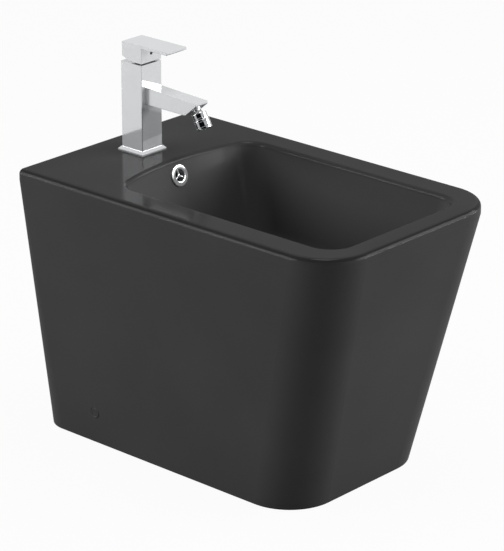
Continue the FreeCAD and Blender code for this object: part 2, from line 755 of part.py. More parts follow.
def tap_base_plate():
    half = COLUMN / 2 + BASE_MARGIN
    top = COLUMN / 2 + SPOUT_EDGE
    edge = tap_z(BASE_PLATE_EDGE)
    rim = square_prism(half, tap_z(SEAT_GAP), edge)
    low_level = (half, TAP_Y - half, TAP_Y + half, edge)
    high_level = (top, TAP_Y - top, TAP_Y + top, tap_z(BASE_PLATE_HEIGHT))
    plate = fused([rim, frustum(low_level, high_level)])
    return plate.cut(cylinder(SPIGOT_R + LOOSE_GAP, tap_point(0, 0, -OVERRUN), Vector(0, 0, 1), tap_z(0)))


def square_wire(half, z):
    corners = ((-half, -half), (half, -half), (half, half), (-half, half))
    return polygon([Vector(x, TAP_Y + y, z) for x, y in corners])


def square_prism(half, low, high):
    return Part.Face(square_wire(half, low)).extrude(Vector(0, 0, high - low))


# The slanted outlet face under the spout's nose, its middle, and its outward direction
def outlet_run():
    return (SPOUT_TIP_TOP - SPOUT_NOSE - SPOUT_UNDER) / math.tan(math.radians(OUTLET_SLOPE))


def outlet_middle():
    rise = (SPOUT_TIP_TOP - SPOUT_NOSE + SPOUT_UNDER) / 2
    return Vector(0, SPOUT_TIP_Y + outlet_run() / 2, tap_z(rise))


def outlet_axis(angle):
    lean = math.radians(angle)
    return Vector(0, -math.sin(lean), -math.cos(lean))


def ball_centre():
    return outlet_middle() + outlet_axis(OUTLET_SLOPE) * BALL_REACH


def spout_blank():
    root = TAP_Y - COLUMN / 2 + SPOUT_EDGE * 2
    profile = [
        (root, tap_z(SPOUT_UNDER)),
        (root, tap_z(SPOUT_ROOT_TOP)),
        (SPOUT_TIP_Y, tap_z(SPOUT_TIP_TOP)),
        (SPOUT_TIP_Y, tap_z(SPOUT_TIP_TOP - SPOUT_NOSE)),
        (SPOUT_TIP_Y + outlet_run(), tap_z(SPOUT_UNDER)),
    ]
    blank = prism_x(profile, SPOUT_WIDTH / 2)
    outer = [e for e in blank.Edges if e.BoundBox.YMin < root - PICK]
    return blank.makeChamfer(SPOUT_EDGE, outer)


def column_blank():
    low = tap_z(BASE_PLATE_HEIGHT + SEAT_GAP)
    column = square_prism(COLUMN / 2, low, tap_z(COLUMN_TOP))
    upright = [e for e in column.Edges if abs(e.Vertexes[0].Z - e.Vertexes[1].Z) > COLUMN]
    return column.makeChamfer(COLUMN_EDGE, upright)


def tap_inlets():
    up = Vector(0, 0, 1)
    feet = [tap_point(side * INLET_X, INLET_Y, SEAT_GAP - OVERRUN) for side in (-1, 1)]
    return [cylinder(INLET_R, foot, up, INLET_DEPTH + OVERRUN) for foot in feet]


# The ball on which the nozzle swivels, with its neck and flange let into the outlet face
def outlet_ball():
    axis = Vector(0, 0, 1)
    ball = Part.makeSphere(BALL_R).cut(cylinder(BALL_R, axis * (BALL_R - BALL_CROWN), axis, BALL_R))
    base = -axis * (BALL_REACH + STEM_FLANGE)
    flange = cylinder(STEM_FLANGE_R, base, axis, 2 * STEM_FLANGE)
    neck = cylinder(NECK_R, base, axis, BALL_REACH)
    return set_on_ball(fused([ball, flange, neck]), OUTLET_SLOPE)


def outlet_bore():
    axis = Vector(0, 0, 1)
    bore = cylinder(STEM_BORE_R, -axis * STEM_BORE_DEPTH, axis, STEM_BORE_DEPTH + BALL_R)
    return set_on_ball(bore, OUTLET_SLOPE)


def tap_body():
    up = Vector(0, 0, 1)
    spigot = cylinder(SPIGOT_R, tap_point(0, 0, SEAT_GAP), up, 2 * BASE_PLATE_HEIGHT)
    body = fused([column_blank(), spout_blank(), spigot, outlet_ball()])
    chamber = cylinder(CHAMBER_R, tap_point(0, 0, COLUMN_TOP - CHAMBER_DEPTH), up, CHAMBER_DEPTH + OVERRUN)
    mouth = cylinder(NUT_THREAD_R, tap_point(0, 0, COLUMN_TOP - NUT_SEAT_DEPTH), up, NUT_SEAT_DEPTH + OVERRUN)
    stud = cylinder(STUD_R, tap_point(0, -STUD_Y, SEAT_GAP - OVERRUN), up, STUD_IN_BODY + OVERRUN)
    for way in [chamber, mouth, stud, outlet_bore()] + tap_inlets():
        body = body.cut(way)
    return body.removeSplitter()


def below_top(depth):
    return COLUMN_TOP - depth


def cartridge_floor():
    return below_top(CHAMBER_DEPTH) + SEAT_GAP


def cartridge_housing():
    low = cartridge_floor()
    up = Vector(0, 0, 1)
    cup = cylinder(CARTRIDGE_R, tap_point(0, 0, low), up, below_top(NUT_SEAT_DEPTH) - low)
    return cup.cut(cylinder(CARTRIDGE_BORE_R, tap_point(0, 0, low + CARTRIDGE_BASE), up, CHAMBER_DEPTH))


# At rest the carrier sits half a stroke behind the middle, so that a full lift brings it
# as far in front.
def carrier_offset():
    return LEVER_ARM * math.sin(math.radians(LIFT_ANGLE)) / 2


def disc_carrier():
    low = cartridge_floor() + CARTRIDGE_BASE + RUN_GAP
    up = Vector(0, 0, 1)
    body = cylinder(CARRIER_R, tap_point(0, carrier_offset(), low), up, CARRIER_HEIGHT)
    socket_low = below_top(PIVOT_DROP) - LEVER_ARM - SPINDLE_NOSE_R
    socket_r = SPINDLE_NOSE_R + SPINDLE_NOSE_ROOM
    return body.cut(cylinder(socket_r, tap_point(0, 0, socket_low), up, CARRIER_HEIGHT))


def rotor_flange_top():
    return below_top(NUT_SEAT_DEPTH) - RUN_GAP


def rotor_slot(half_width):
    half = SPINDLE / 2 + LOOSE_GAP
    swing = math.tan(math.radians(LIFT_ANGLE))
    pivot = below_top(PIVOT_DROP)
    high = below_top(ROTOR_TOP_DEPTH) - pivot + OVERRUN
    low = pivot - rotor_flange_top() + ROTOR_FLANGE + OVERRUN
    profile = [
        (-half, 0),
        (-half - low * swing, -low),
        (half, -low),
        (half, 0),
        (half + high * swing, high),
        (-half, high),
    ]
    return prism_x([(TAP_Y + y, tap_z(pivot + z)) for y, z in profile], half_width)


def cartridge_rotor():
    up = Vector(0, 0, 1)
    flange_low = rotor_flange_top() - ROTOR_FLANGE
    flange = cylinder(CARTRIDGE_BORE_R - RUN_GAP, tap_point(0, 0, flange_low), up, ROTOR_FLANGE)
    neck_height = below_top(ROTOR_TOP_DEPTH) - flange_low
    neck = cylinder(ROTOR_NECK_R, tap_point(0, 0, flange_low), up, neck_height)
    rotor = fused([flange, neck]).cut(rotor_slot(SPINDLE / 2 + 2 * RUN_GAP))
    pin_start = tap_point(-PIN_LENGTH / 2, 0, below_top(PIVOT_DROP))
    return rotor.cut(cylinder(PIN_R + SEAT_GAP, pin_start, Vector(1, 0, 0), PIN_LENGTH))


def spindle_pin():
    pin_start = tap_point(-PIN_LENGTH / 2 + SEAT_GAP, 0, below_top(PIVOT_DROP))
    return cylinder(PIN_R, pin_start, Vector(1, 0, 0), PIN_LENGTH - 2 * SEAT_GAP)


def spindle():
    half = SPINDLE / 2
    up = Vector(0, 0, 1)
    pivot = below_top(PIVOT_DROP)
    bar = square_prism(half, tap_z(pivot - half), tap_z(COLUMN_TOP + SPINDLE_RISE))
    nose_low = pivot - LEVER_ARM - SPINDLE_NOSE / 2
    nose = cylinder(SPINDLE_NOSE_R, tap_point(0, 0, nose_low), up, SPINDLE_NOSE)
    waist = cylinder(SPINDLE_WAIST_R, tap_point(0, 0, nose_low), up, LEVER_ARM)
    bore = cylinder(PIN_R + RUN_GAP, tap_point(-SPINDLE, 0, pivot), Vector(1, 0, 0), 2 * SPINDLE)
    return fused([bar, nose, waist]).cut(bore)


# The nut clamps the cartridge and keeps the rotor in. Its top shows in the lever's gap.
def cartridge_nut():
    low = below_top(NUT_SEAT_DEPTH) + SEAT_GAP
    top = below_top(NUT_TOP_DEPTH)
    inner = ROTOR_NECK_R + LOOSE_GAP
    outer = NUT_THREAD_R - SEAT_GAP
    profile = [(inner, low), (outer, low), (outer, top), (inner, top)]
    return turned(profile).translated(tap_point(0, 0, 0))


# The lever's underside rises to the rear, so that it clears the column at full lift,
# and its rear lower edge is cut away.
def lever_ramp():
    lift = math.radians(LIFT_ANGLE)
    rear = COLUMN / 2 - LEVER_REAR_INSET
    start = rear - LEVER_CUT
    least = PIVOT_DROP + LIFT_CLEARANCE
    height = (least + start * math.sin(lift)) / math.cos(lift) - PIVOT_DROP
    return start, rear, height


def grub_height():
    return COLUMN_TOP + LEVER_GAP + LEVER_BLOCK - GRUB_BELOW_PADDLE


def lever_handle():
    start, rear, ramp_height = lever_ramp()
    under = COLUMN_TOP + LEVER_GAP
    paddle_low = under + LEVER_BLOCK
    paddle_top = paddle_low + PADDLE_THICK
    front = TAP_Y - COLUMN / 2
    profile = [
        (front, tap_z(under)),
        (TAP_Y + start, tap_z(COLUMN_TOP + ramp_height)),
        (TAP_Y + rear, tap_z(COLUMN_TOP + ramp_height + LEVER_CUT_RISE)),
        (TAP_Y + rear, tap_z(paddle_top)),
        (PADDLE_FRONT_Y, tap_z(paddle_top)),
        (PADDLE_FRONT_Y, tap_z(paddle_low + PADDLE_NOSE)),
        (PADDLE_FRONT_Y + PADDLE_NOSE, tap_z(paddle_low)),
        (front, tap_z(paddle_low)),
    ]
    handle = prism_x(profile, COLUMN / 2)
    crisp = [e for e in handle.Edges if outer_lever_edge(e, paddle_low)]
    handle = handle.makeChamfer(LEVER_EDGE, crisp)
    half = SPINDLE / 2 + SEAT_GAP
    socket_top = tap_z(COLUMN_TOP + SPINDLE_RISE + SEAT_GAP)
    socket = square_prism(half, tap_z(under - OVERRUN), socket_top)
    grub = cylinder(GRUB_R, tap_point(0, -COLUMN / 2 - OVERRUN, grub_height()), Vector(0, 1, 0), COLUMN / 2)
    return handle.cut(lever_pockets()).cut(socket).cut(grub)


# The block is hollow from below, round a boss for the spindle and a rib to each wall.
def lever_pockets():
    half = COLUMN / 2 - LEVER_WALL
    low = tap_z(COLUMN_TOP)
    high = tap_z(COLUMN_TOP + LEVER_GAP + LEVER_BLOCK - LEVER_CEILING)
    rear = TAP_Y + COLUMN / 2 - LEVER_REAR_INSET - LEVER_WALL
    pocket = block(-half, half, TAP_Y - half, rear, low, high)
    rib = LEVER_RIB / 2
    boss = square_prism(LEVER_BOSS / 2, low, high)
    across = block(-half, half, TAP_Y - rib, TAP_Y + rib, low, high)
    along = block(-rib, rib, TAP_Y - half, rear, low, high)
    return pocket.cut(boss).cut(across).cut(along)


def outer_lever_edge(edge, paddle_low):
    box = edge.BoundBox
    inner_corner = box.YMax < TAP_Y and box.ZMax < tap_z(paddle_low) + PICK
    along_inner = abs(box.YMin - (TAP_Y - COLUMN / 2)) < PICK and box.XLength > PICK
    return not (inner_corner and along_inner and box.ZMin > tap_z(paddle_low) - PICK)


def handle_grub_screw():
    end = -SPINDLE / 2 - SEAT_GAP
    start = tap_point(0, end - GRUB_LENGTH, grub_height())
    axis = Vector(0, 1, 0)
    screw = cylinder(GRUB_R - SEAT_GAP, start, axis, GRUB_LENGTH)
    key = [
        start + Vector(math.cos(i * math.pi / 3), 0, math.sin(i * math.pi / 3)) * GRUB_KEY_R for i in range(6)
    ]
    return screw.cut(Part.Face(polygon(key)).extrude(axis * GRUB_KEY_DEPTH))


# The nozzle's pieces are turned about their own axis, with the ball's centre at zero and
# the water running towards +Z, and are then set at the outlet.
def set_on_ball(shape, angle):
    turn = Rotation(Vector(0, 0, 1), outlet_axis(angle))
    shape.Placement = Placement(ball_centre(), turn)
    return shape


def ball_liner():
    axis = Vector(0, 0, 1)
    liner = tube(LINER_R, BALL_R + BALL_GAP, axis * LINER_START, axis, LINER_WIDTH)
    return set_on_ball(liner, NOZZLE_REST_ANGLE)


# A slip ring that turns on the ball's neck, over the flange
def neck_ring():
    axis = Vector(0, 0, 1)
    foot = axis * (STEM_FLANGE + RUN_GAP - BALL_REACH)
    return set_on_ball(tube(STEM_FLANGE_R, NECK_R + RUN_GAP, foot, axis, NECK_RING), OUTLET_SLOPE)


def ball_clear_r(along, gap):
    return math.sqrt((BALL_R + gap) ** 2 - along**2)


def nozzle_collar():
    low = COLLAR_LENGTH - COLLAR_RISE
    lip = COLLAR_LIP - COLLAR_RISE
    mouth = ball_clear_r(lip, BALL_GAP)
    bore = NOZZLE_THREAD_R + SEAT_GAP
    profile = [(mouth, -COLLAR_RISE), (COLLAR_R, -COLLAR_RISE), (COLLAR_R, low), (bore, low), (bore, lip)]
    return set_on_ball(turned(profile + [(mouth, lip)]), NOZZLE_REST_ANGLE)


def nozzle_end_along():
    return COLLAR_LENGTH - COLLAR_RISE + NOZZLE_LENGTH


def insert_start_along():
    return nozzle_end_along() - INSERT_RECESS - INSERT_LENGTH


def aerator_housing():
    start = NOZZLE_START + SEAT_GAP
    joint = COLLAR_LENGTH - COLLAR_RISE + SEAT_GAP
    end = nozzle_end_along()
    profile = [
        (NOZZLE_BORE_R, start),
        (NOZZLE_THREAD_R, start),
        (NOZZLE_THREAD_R, joint),
        (NOZZLE_R, joint),
        (NOZZLE_R, end),
        (NOZZLE_BORE_R, end),
    ]
    return set_on_ball(turned(profile), NOZZLE_REST_ANGLE)


# The insert's jets are hexagonal cells in rings round a middle one.
def cell_places():
    pitch = INSERT_CELL + INSERT_RIB
    rings = range(-INSERT_RINGS, INSERT_RINGS + 1)
    cells = [(i, j) for i in rings for j in rings if abs(i + j) <= INSERT_RINGS]
    rise = math.sin(math.pi / 3)
    return [Vector((i + j / 2) * pitch, j * rise * pitch, 0) for i, j in cells]


def aerator_insert():
    axis = Vector(0, 0, 1)
    start = insert_start_along()
    insert = cylinder(NOZZLE_BORE_R - SEAT_GAP, Vector(0, 0, start), axis, INSERT_LENGTH)
    reach = INSERT_CELL / 2 / math.cos(math.pi / 6)
    turns = [(i + 1 / 2) * math.pi / 3 for i in range(6)]
    cell = [Vector(math.cos(t), math.sin(t), 0) * reach for t in turns]
    foot = axis * (start - OVERRUN)
    for place in cell_places():
        outline = polygon([corner + place + foot for corner in cell])
        insert = insert.cut(Part.Face(outline).extrude(axis * (INSERT_LENGTH + 2 * OVERRUN)))
    return set_on_ball(insert, NOZZLE_REST_ANGLE)


# Tap fixing under the deck
def fixing_stud():
    foot = tap_point(0, -STUD_Y, STUD_IN_BODY - STUD_LENGTH)
    return cylinder(STUD_R - SEAT_GAP, foot, Vector(0, 0, 1), STUD_LENGTH)


def horseshoe(low, thickness):
    near = -HORSESHOE_R
    half = HORSESHOE_R
    corner = half - HORSESHOE_CORNER
    outline = [(-corner, near), (corner, near), (half, near + HORSESHOE_CORNER), (half, corner)]
    outline += [(corner, half), (-corner, half), (-half, corner), (-half, near + HORSESHOE_CORNER)]
    face = Part.Face(polygon([tap_point(x, y, low) for x, y in outline]))
    plate = face.extrude(Vector(0, 0, thickness))
    up = Vector(0, 0, 1)
    slot_y = TAP_Y + STUD_Y - STUD_R
    slot_foot = Vector(0, slot_y, tap_z(low - OVERRUN))
    slot_round = cylinder(HORSESHOE_SLOT_R, slot_foot, up, thickness + 2 * OVERRUN)
    slot = block(
        -HORSESHOE_SLOT_R,
        HORSESHOE_SLOT_R,
        slot_y,
        TAP_Y + half + OVERRUN,
        tap_z(low - OVERRUN),
        tap_z(low + thickness + OVERRUN),
    )
    hole_foot = tap_point(0, -STUD_Y, low - OVERRUN)
    hole = cylinder(STUD_R + LOOSE_GAP, hole_foot, up, thickness + 2 * OVERRUN)
    return plate.cut(slot).cut(slot_round).cut(hole)


def horseshoe_rubber():
    return horseshoe(-DECK - HORSESHOE_RUBBER - SEAT_GAP, HORSESHOE_RUBBER)


def horseshoe_plate():
    low = -DECK - HORSESHOE_RUBBER - HORSESHOE_PLATE - 2 * SEAT_GAP
    return horseshoe(low, HORSESHOE_PLATE)


def stud_nut():
    up = Vector(0, 0, 1)
    low = -DECK - HORSESHOE_RUBBER - HORSESHOE_PLATE - 3 * SEAT_GAP - STUD_NUT_HEIGHT
    nut = nut_prism(STUD_NUT_FLAT / 2, 6, tap_point(0, -STUD_Y, low), up, STUD_NUT_HEIGHT)
    hole_foot = tap_point(0, -STUD_Y, low - OVERRUN)
    return nut.cut(cylinder(STUD_R, hole_foot, up, STUD_NUT_HEIGHT + 2 * OVERRUN))


PIECES = (
    ceramic_body,
    overflow_ring,
    fixing_caps,
    fixing_sleeves,
    side_fixing_screws,
    floor_brackets,
    waste_body,
    waste_back_nut,
    waste_plug,
    trap_body,
    trap_cup,
    trap_outlet_pipe,
    tap_base_plate,
    tap_body,
    cartridge_housing,
    disc_carrier,
    cartridge_rotor,
    spindle_pin,
    spindle,
    cartridge_nut,
    lever_handle,
    handle_grub_screw,
    neck_ring,
    ball_liner,
    nozzle_collar,
    aerator_housing,
    aerator_insert,
    fixing_stud,
    horseshoe_rubber,
    horseshoe_plate,
    stud_nut,
)

os.makedirs("parts", exist_ok=True)
for piece in PIECES:
    shape = piece()
    shape.exportStep("parts/" + piece.__name__ + ".step")
    print(piece.__name__, len(shape.Solids), shape.isValid(), round(shape.Volume))
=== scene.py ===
import json
import math

import bpy
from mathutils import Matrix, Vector


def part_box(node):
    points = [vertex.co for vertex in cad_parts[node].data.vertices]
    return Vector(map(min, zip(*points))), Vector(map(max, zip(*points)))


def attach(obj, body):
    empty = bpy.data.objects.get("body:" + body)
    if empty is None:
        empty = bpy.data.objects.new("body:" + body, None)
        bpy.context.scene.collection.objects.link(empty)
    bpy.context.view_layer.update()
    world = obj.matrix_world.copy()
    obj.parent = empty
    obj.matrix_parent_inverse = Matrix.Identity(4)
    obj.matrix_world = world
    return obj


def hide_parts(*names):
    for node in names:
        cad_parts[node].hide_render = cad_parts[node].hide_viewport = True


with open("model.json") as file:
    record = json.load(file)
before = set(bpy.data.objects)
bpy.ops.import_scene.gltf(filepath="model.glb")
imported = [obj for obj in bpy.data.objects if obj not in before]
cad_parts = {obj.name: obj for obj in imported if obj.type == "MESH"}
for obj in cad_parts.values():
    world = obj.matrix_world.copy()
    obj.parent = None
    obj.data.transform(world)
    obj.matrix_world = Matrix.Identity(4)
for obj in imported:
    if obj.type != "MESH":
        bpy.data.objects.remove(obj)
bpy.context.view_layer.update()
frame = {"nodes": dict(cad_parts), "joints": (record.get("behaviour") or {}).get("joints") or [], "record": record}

# The looks of a black glazed bidet with a chromed tap. The floor is at zero, the wall is at +Y
# and the user faces -Y. Lengths are in millimetres until MM turns them into metres.
MM = 0.001


def corners(node):
    """A node's lowest and highest corners, in millimetres."""
    low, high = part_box(node)
    return low / MM, high / MM


def joint(name):
    return next(entry for entry in frame["joints"] if entry["name"] == name)


# Camera, as found from the photograph's edges and corners
VIEW_AZIMUTH = -47.84
VIEW_ELEVATION = 21.22
VIEW_DISTANCE = 4.0529
VIEW_TARGET = Vector((-0.00832, 0, 0.25783))
VIEW_LENS = 193.2
SENSOR = 36
FAR_CLIP = 60

# Light, with the card and the floor in metres
SKY_ON_OBJECT = 0.22
FLOOR_REACH = 14.0
FLOOR_LIFT = 0.95
BACKGROUND_RAYS = ("Camera Ray", "Glossy Ray", "Transmission Ray")
LAMP_AIM = Vector((0, 0, 0.3))
CARD_AZIMUTH = -57
CARD_DISTANCE = 4.6
CARD_WIDTH = 9.0
CARD_HEIGHT = 3.4

# Bowl, in metres, for the painted light that lightens the glaze between the bowl's floor and its rim
RIM = corners("ceramic_body")[1].z * MM
BOWL_MIDDLE = (0, -0.05, RIM)
BOWL_LIGHT_LEVELS = (0.22, 0.235, RIM - 0.0075, RIM - 0.001)
BOWL_LIGHT_REACH = 0.5

# Working values
TOLERANCE = 0.01
MERGE_GAP = 0.004
THINNEST = 0.002
LONG_WALL = 5
OVERRUN = 1
SEAT_GAP = 0.02
SQUARE_ON = 0.9
SMOOTH_ANGLE = math.radians(32)

# Steps of a full turn
WIDE_TURN = 96
TURN = 72
NARROW_TURN = 64
HOLE_TURN = 48
THIN_TURN = 32

# Overflow cover, made upright with its seat at zero
OVERFLOW_HOLE = Vector((0, 144.25, 367))
OVERFLOW_AXIS = Vector((0, -0.9596, 0.2815))
OVERFLOW_STAND_OFF = 0.31
OVERFLOW_BORE = 8.6
OVERFLOW_TAIL = 11.2
OVERFLOW_TAIL_END = -12
OVERFLOW_FLANGE = corners("overflow_ring")[1].x
OVERFLOW_FACE = 2
OVERFLOW_OUTER_ROUND = 1.3
OVERFLOW_INNER_ROUND = 0.9
OVERFLOW_TAIL_ROUND = 0.4
HUB_EDGE = 2.6
HUB_ROUND = 0.9
WEB_COUNT = 3
WEB_HALF_WIDTH = 0.9
WEB_START = 0.5
WEB_SINK = 0.8
WEB_END = OVERFLOW_BORE + WEB_SINK
WEB_FOOT = -1.8
WEB_TOP = -0.2
WEB_ROUND = 0.45

# Nozzle, made upright from the middle of its ball
BALL = Vector(joint("nozzle_spin")["pos_m"]) / MM
NOZZLE_AXIS = Vector(joint("nozzle_spin")["axis"])
COLLAR_EDGE = corners("nozzle_collar")[1].x
COLLAR_BORE = 9.32
COLLAR_MOUTH = 7.44
COLLAR_FOOT = -3
COLLAR_LEDGE = -2
COLLAR_TOP = 6.4
COLLAR_FOOT_ROUND = 0.8
COLLAR_SMALL_ROUND = 0.35
COLLAR_GROOVE = 3.9
COLLAR_GROOVE_DEPTH = 0.3
TIP_EDGE = corners("aerator_housing")[1].x
TIP_BORE = 8
TIP_SCREW = COLLAR_BORE - SEAT_GAP
TIP_SCREW_START = 2.22
TIP_SHOULDER = COLLAR_TOP + SEAT_GAP
TIP_END = 20.4
TIP_SHOULDER_ROUND = 0.6
TIP_END_ROUND = 1.1
TIP_BORE_ROUND = 0.6
TIP_GROOVES = (9.5, 16.9)
TIP_GROOVE_DEPTH = 0.35
GROOVE_WIDTH = 0.9

# Waste and plug
WASTE_LOW, WASTE_HIGH = corners("waste_body")
DRAIN = Vector((0, (WASTE_LOW.y + WASTE_HIGH.y) / 2, 0))
WASTE_FLANGE = WASTE_HIGH.x
WASTE_FLANGE_THICK = 2.6
WASTE_TUBE = 20.8
WASTE_BORE = 18.4
WASTE_ROUND = 1.8
WASTE_RIDGES = 30
WASTE_RIDGE_DEPTH = 0.5
WASTE_THREAD_TOP = 204
SLOT_COUNT = 4
SLOT_REACH = 24
SLOT_HALF_WIDTH = 4
SLOT_FOOT = 220.5
SLOT_HEIGHT = 8
SLOT_ROUND = 1.2
GUIDE_SINK = 1
GUIDE_REACH = WASTE_BORE + GUIDE_SINK
GUIDE_HALF_WIDTH = 7.5
GUIDE_FOOT = 191
GUIDE_TOP = 207
GUIDE_ROUND = 1
PLUG_LOW, PLUG_HIGH = corners("waste_plug")
PLUG_EDGE = PLUG_HIGH.x
PLUG_THICK = 4.2
PLUG_STEM = 5
PLUG_STEM_GAP = 0.05
PLUG_CROWN_ROUND = 2.6
PLUG_UNDER_ROUND = 0.6
PLUG_STEM_ROUND = 1.2
LOCKNUT_LOW, LOCKNUT_HIGH = corners("waste_back_nut")
LOCKNUT_ROUND = 0.8
NUT_SIDES = 8

# Trap
TRAP_LOW, TRAP_HIGH = corners("trap_body")
TRAP_TURN = math.radians(8)
TRAP_EDGE = 29
TRAP_WALL = 2.6
TRAP_FOOT = 76
TRAP_TOP = 136
TRAP_ROUND = 6
TRAP_ROOF_BORE = 15
NECK_EDGE = 16
NECK_BORE = 14.2
NECK_TOP = WASTE_LOW.z - SEAT_GAP
NECK_GRIP = 0.1
TRAP_NUT_FLAT = 23.5
TRAP_NUT_HEIGHT = 14
TRAP_NUT_ROUND = 0.9
BRANCH_LEVEL = 112
BRANCH_EDGE = 18.4
OUTLET_PIPE = 16
BRANCH_BORE = OUTLET_PIPE + SEAT_GAP
BRANCH_START = 27.6
BRANCH_END = 40
BRANCH_NUT_START = 34.52
CUP_LOW, CUP_HIGH = corners("trap_cup")
CUP_EDGE = CUP_HIGH.x
CUP_WALL = 3
CUP_FOOT_ROUND = 5
CUP_LIP_ROUND = 0.8
GRIP_FOOT = 52
GRIP_SPACING = 3
GRIP_MARGIN = 0.5
GRIP_DEPTH = 0.6

# Stud
STUD_LOW, STUD_HIGH = corners("fixing_stud")
STUD_GAP = 0.03
STUD_CREST = STUD_HIGH.x - STUD_GAP
STUD_ROUND = 0.8
STUD_RIDGES = 48
STUD_RIDGE_DEPTH = 0.55

# Side caps
CAP_LOW, CAP_HIGH = corners("fixing_caps")
CAP_SEAT = 145.15
CAP_EDGE = (CAP_HIGH.z - CAP_LOW.z) / 2
CAP_THICK = 2.4
CAP_ROUND = 0.7
CAP_RIM = 1.1
CAP_LINE_WIDTH = 0.4
CAP_LINE_DEPTH = 0.25


# Modelling, as at the bench: a blank, then cuts, steps and softened edges

def alone(piece=None):
    bpy.ops.object.select_all(action="DESELECT")
    if piece:
        piece.select_set(True)
        bpy.context.view_layer.objects.active = piece


def near(value, target):
    return abs(value - target) < TOLERANCE


def between(value, first, second):
    return min(first, second) < value < max(first, second)


def choose(piece, kind, rule):
    """Opens the piece with only those corners, edges or faces selected that pass the rule."""
    alone(piece)
    bpy.ops.object.mode_set(mode="EDIT")
    bpy.ops.mesh.select_mode(type=kind)
    bpy.ops.mesh.select_all(action="DESELECT")
    bpy.ops.object.mode_set(mode="OBJECT")
    mesh = piece.data
    if kind == "FACE":
        for face in mesh.polygons:
            face.select = rule(face.center / MM, face.normal)
    elif kind == "EDGE":
        for edge in mesh.edges:
            start, end = (mesh.vertices[i].co / MM for i in edge.vertices)
            edge.select = rule(start, end)
    else:
        for vertex in mesh.vertices:
            vertex.select = rule(vertex.co / MM)
    bpy.ops.object.mode_set(mode="EDIT")


def close():
    bpy.ops.object.mode_set(mode="OBJECT")


def settle(piece):
    alone(piece)
    bpy.ops.object.transform_apply(location=True, rotation=True, scale=True)


def section(name, inner, outer, low, high):
    """Half a cross-section, from one radius to another and one height to another."""
    alone()
    middle = Vector(((inner + outer) / 2, 0, (low + high) / 2)) * MM
    bpy.ops.mesh.primitive_plane_add(size=MM, location=middle, rotation=(math.pi / 2, 0, 0))
    piece = bpy.context.object
    piece.name = name
    piece.scale = (outer - inner, high - low, 1)
    settle(piece)
    return piece


def pull(piece, rule, out, up):
    """Pulls the chosen edge of a cross-section outwards and upwards."""
    choose(piece, "EDGE", rule)
    bpy.ops.mesh.extrude_region_move(TRANSFORM_OT_translate={"value": (out * MM, 0, up * MM)})
    close()


def lengthen(piece, end, new_end):
    """Pulls the end of a cross-section from one height to another."""
    pull(piece, lambda a, b: near(a.z, end) and near(b.z, end), 0, new_end - end)


def step(piece, wall, low, high, new_wall):
    """Pulls the wall between two heights of a cross-section from one radius to another."""
    pull(piece, lambda a, b: along(a, b, wall) and low < (a.z + b.z) / 2 < high, new_wall - wall, 0)


def along(a, b, wall):
    return near(a.x, wall) and near(b.x, wall)


def soften(piece, radius, height, size, steps=3):
    """Rounds the corner of a cross-section that stands at that radius and height."""
    choose(piece, "VERT", lambda p: near(p.x, radius) and near(p.z, height))
    bpy.ops.mesh.bevel(offset=size * MM, segments=steps, affect="VERTICES")
    close()


def groove(piece, wall, height, width, depth):
    """Works a fine groove into the outer line of a cross-section."""
    line = [corner.co.z / MM for corner in piece.data.vertices if near(corner.co.x / MM, wall)]
    below = max(z for z in line if z < height)
    above = min(z for z in line if z > height)
    choose(piece, "EDGE", lambda a, b: along(a, b, wall) and between(height, a.z, b.z))
    bpy.ops.mesh.subdivide(number_cuts=3)
    close()
    places = ((1, height - width / 2, 0), (3, height + width / 2, 0), (2, height, depth))
    for quarter, level, inset in places:
        start = below + (above - below) * quarter / 4
        choose(piece, "VERT", lambda p: near(p.x, wall) and near(p.z, start))
        bpy.ops.transform.translate(value=(-inset * MM, 0, (level - start) * MM))
        close()


def thread(piece, wall, ridges, depth, top):
    """Works a thread's ridges into the outer line of a cross-section, up to a height."""
    choose(piece, "EDGE", lambda a, b: along(a, b, wall) and abs(a.z - b.z) > LONG_WALL)
    bpy.ops.mesh.subdivide(number_cuts=2 * ridges - 1)
    close()
    line = sorted(corner.co.z / MM for corner in piece.data.vertices if near(corner.co.x / MM, wall))
    roots = [z for z in line[1::2] if z < top]
    choose(piece, "VERT", lambda p: near(p.x, wall) and any(near(p.z, root) for root in roots))
    bpy.ops.transform.translate(value=(-depth * MM, 0, 0))
    close()


def mend(piece):
    """Merges what coincides and turns every face outwards."""
    choose(piece, "VERT", lambda p: True)
    bpy.ops.mesh.remove_doubles(threshold=MERGE_GAP * MM)
    bpy.ops.mesh.dissolve_degenerate(threshold=THINNEST * MM)
    bpy.ops.mesh.normals_make_consistent(inside=False)
    close()


def turn(piece, steps=TURN):
    """Turns a cross-section about the upright axis."""
    choose(piece, "FACE", lambda middle, normal: True)
    bpy.ops.mesh.dissolve_faces()
    bpy.ops.mesh.delete(type="ONLY_FACE")
    close()
    choose(piece, "EDGE", lambda a, b: along(a, b, 0))
    bpy.ops.mesh.delete(type="EDGE")
    close()
    choose(piece, "VERT", lambda p: True)
    bpy.ops.mesh.spin(steps=steps, angle=2 * math.pi, center=(0, 0, 0), axis=(0, 0, 1))
    close()
    mend(piece)
    return piece


def drill(name, radius, low, high, steps):
    """A round tool that runs past both ends of the hole that it cuts."""
    return turn(section(name, 0, radius, low - OVERRUN, high + OVERRUN), steps)


def shape_with(piece, tool, how):
    """Joins the tool to the piece, or cuts the piece with it, and throws the tool away."""
    fit = piece.modifiers.new("fit", "BOOLEAN")
    fit.operation = how
    fit.object = tool
    fit.solver = "EXACT"
    alone(piece)
    bpy.ops.object.modifier_apply(modifier=fit.name)
    bpy.data.objects.remove(tool)
    mend(piece)


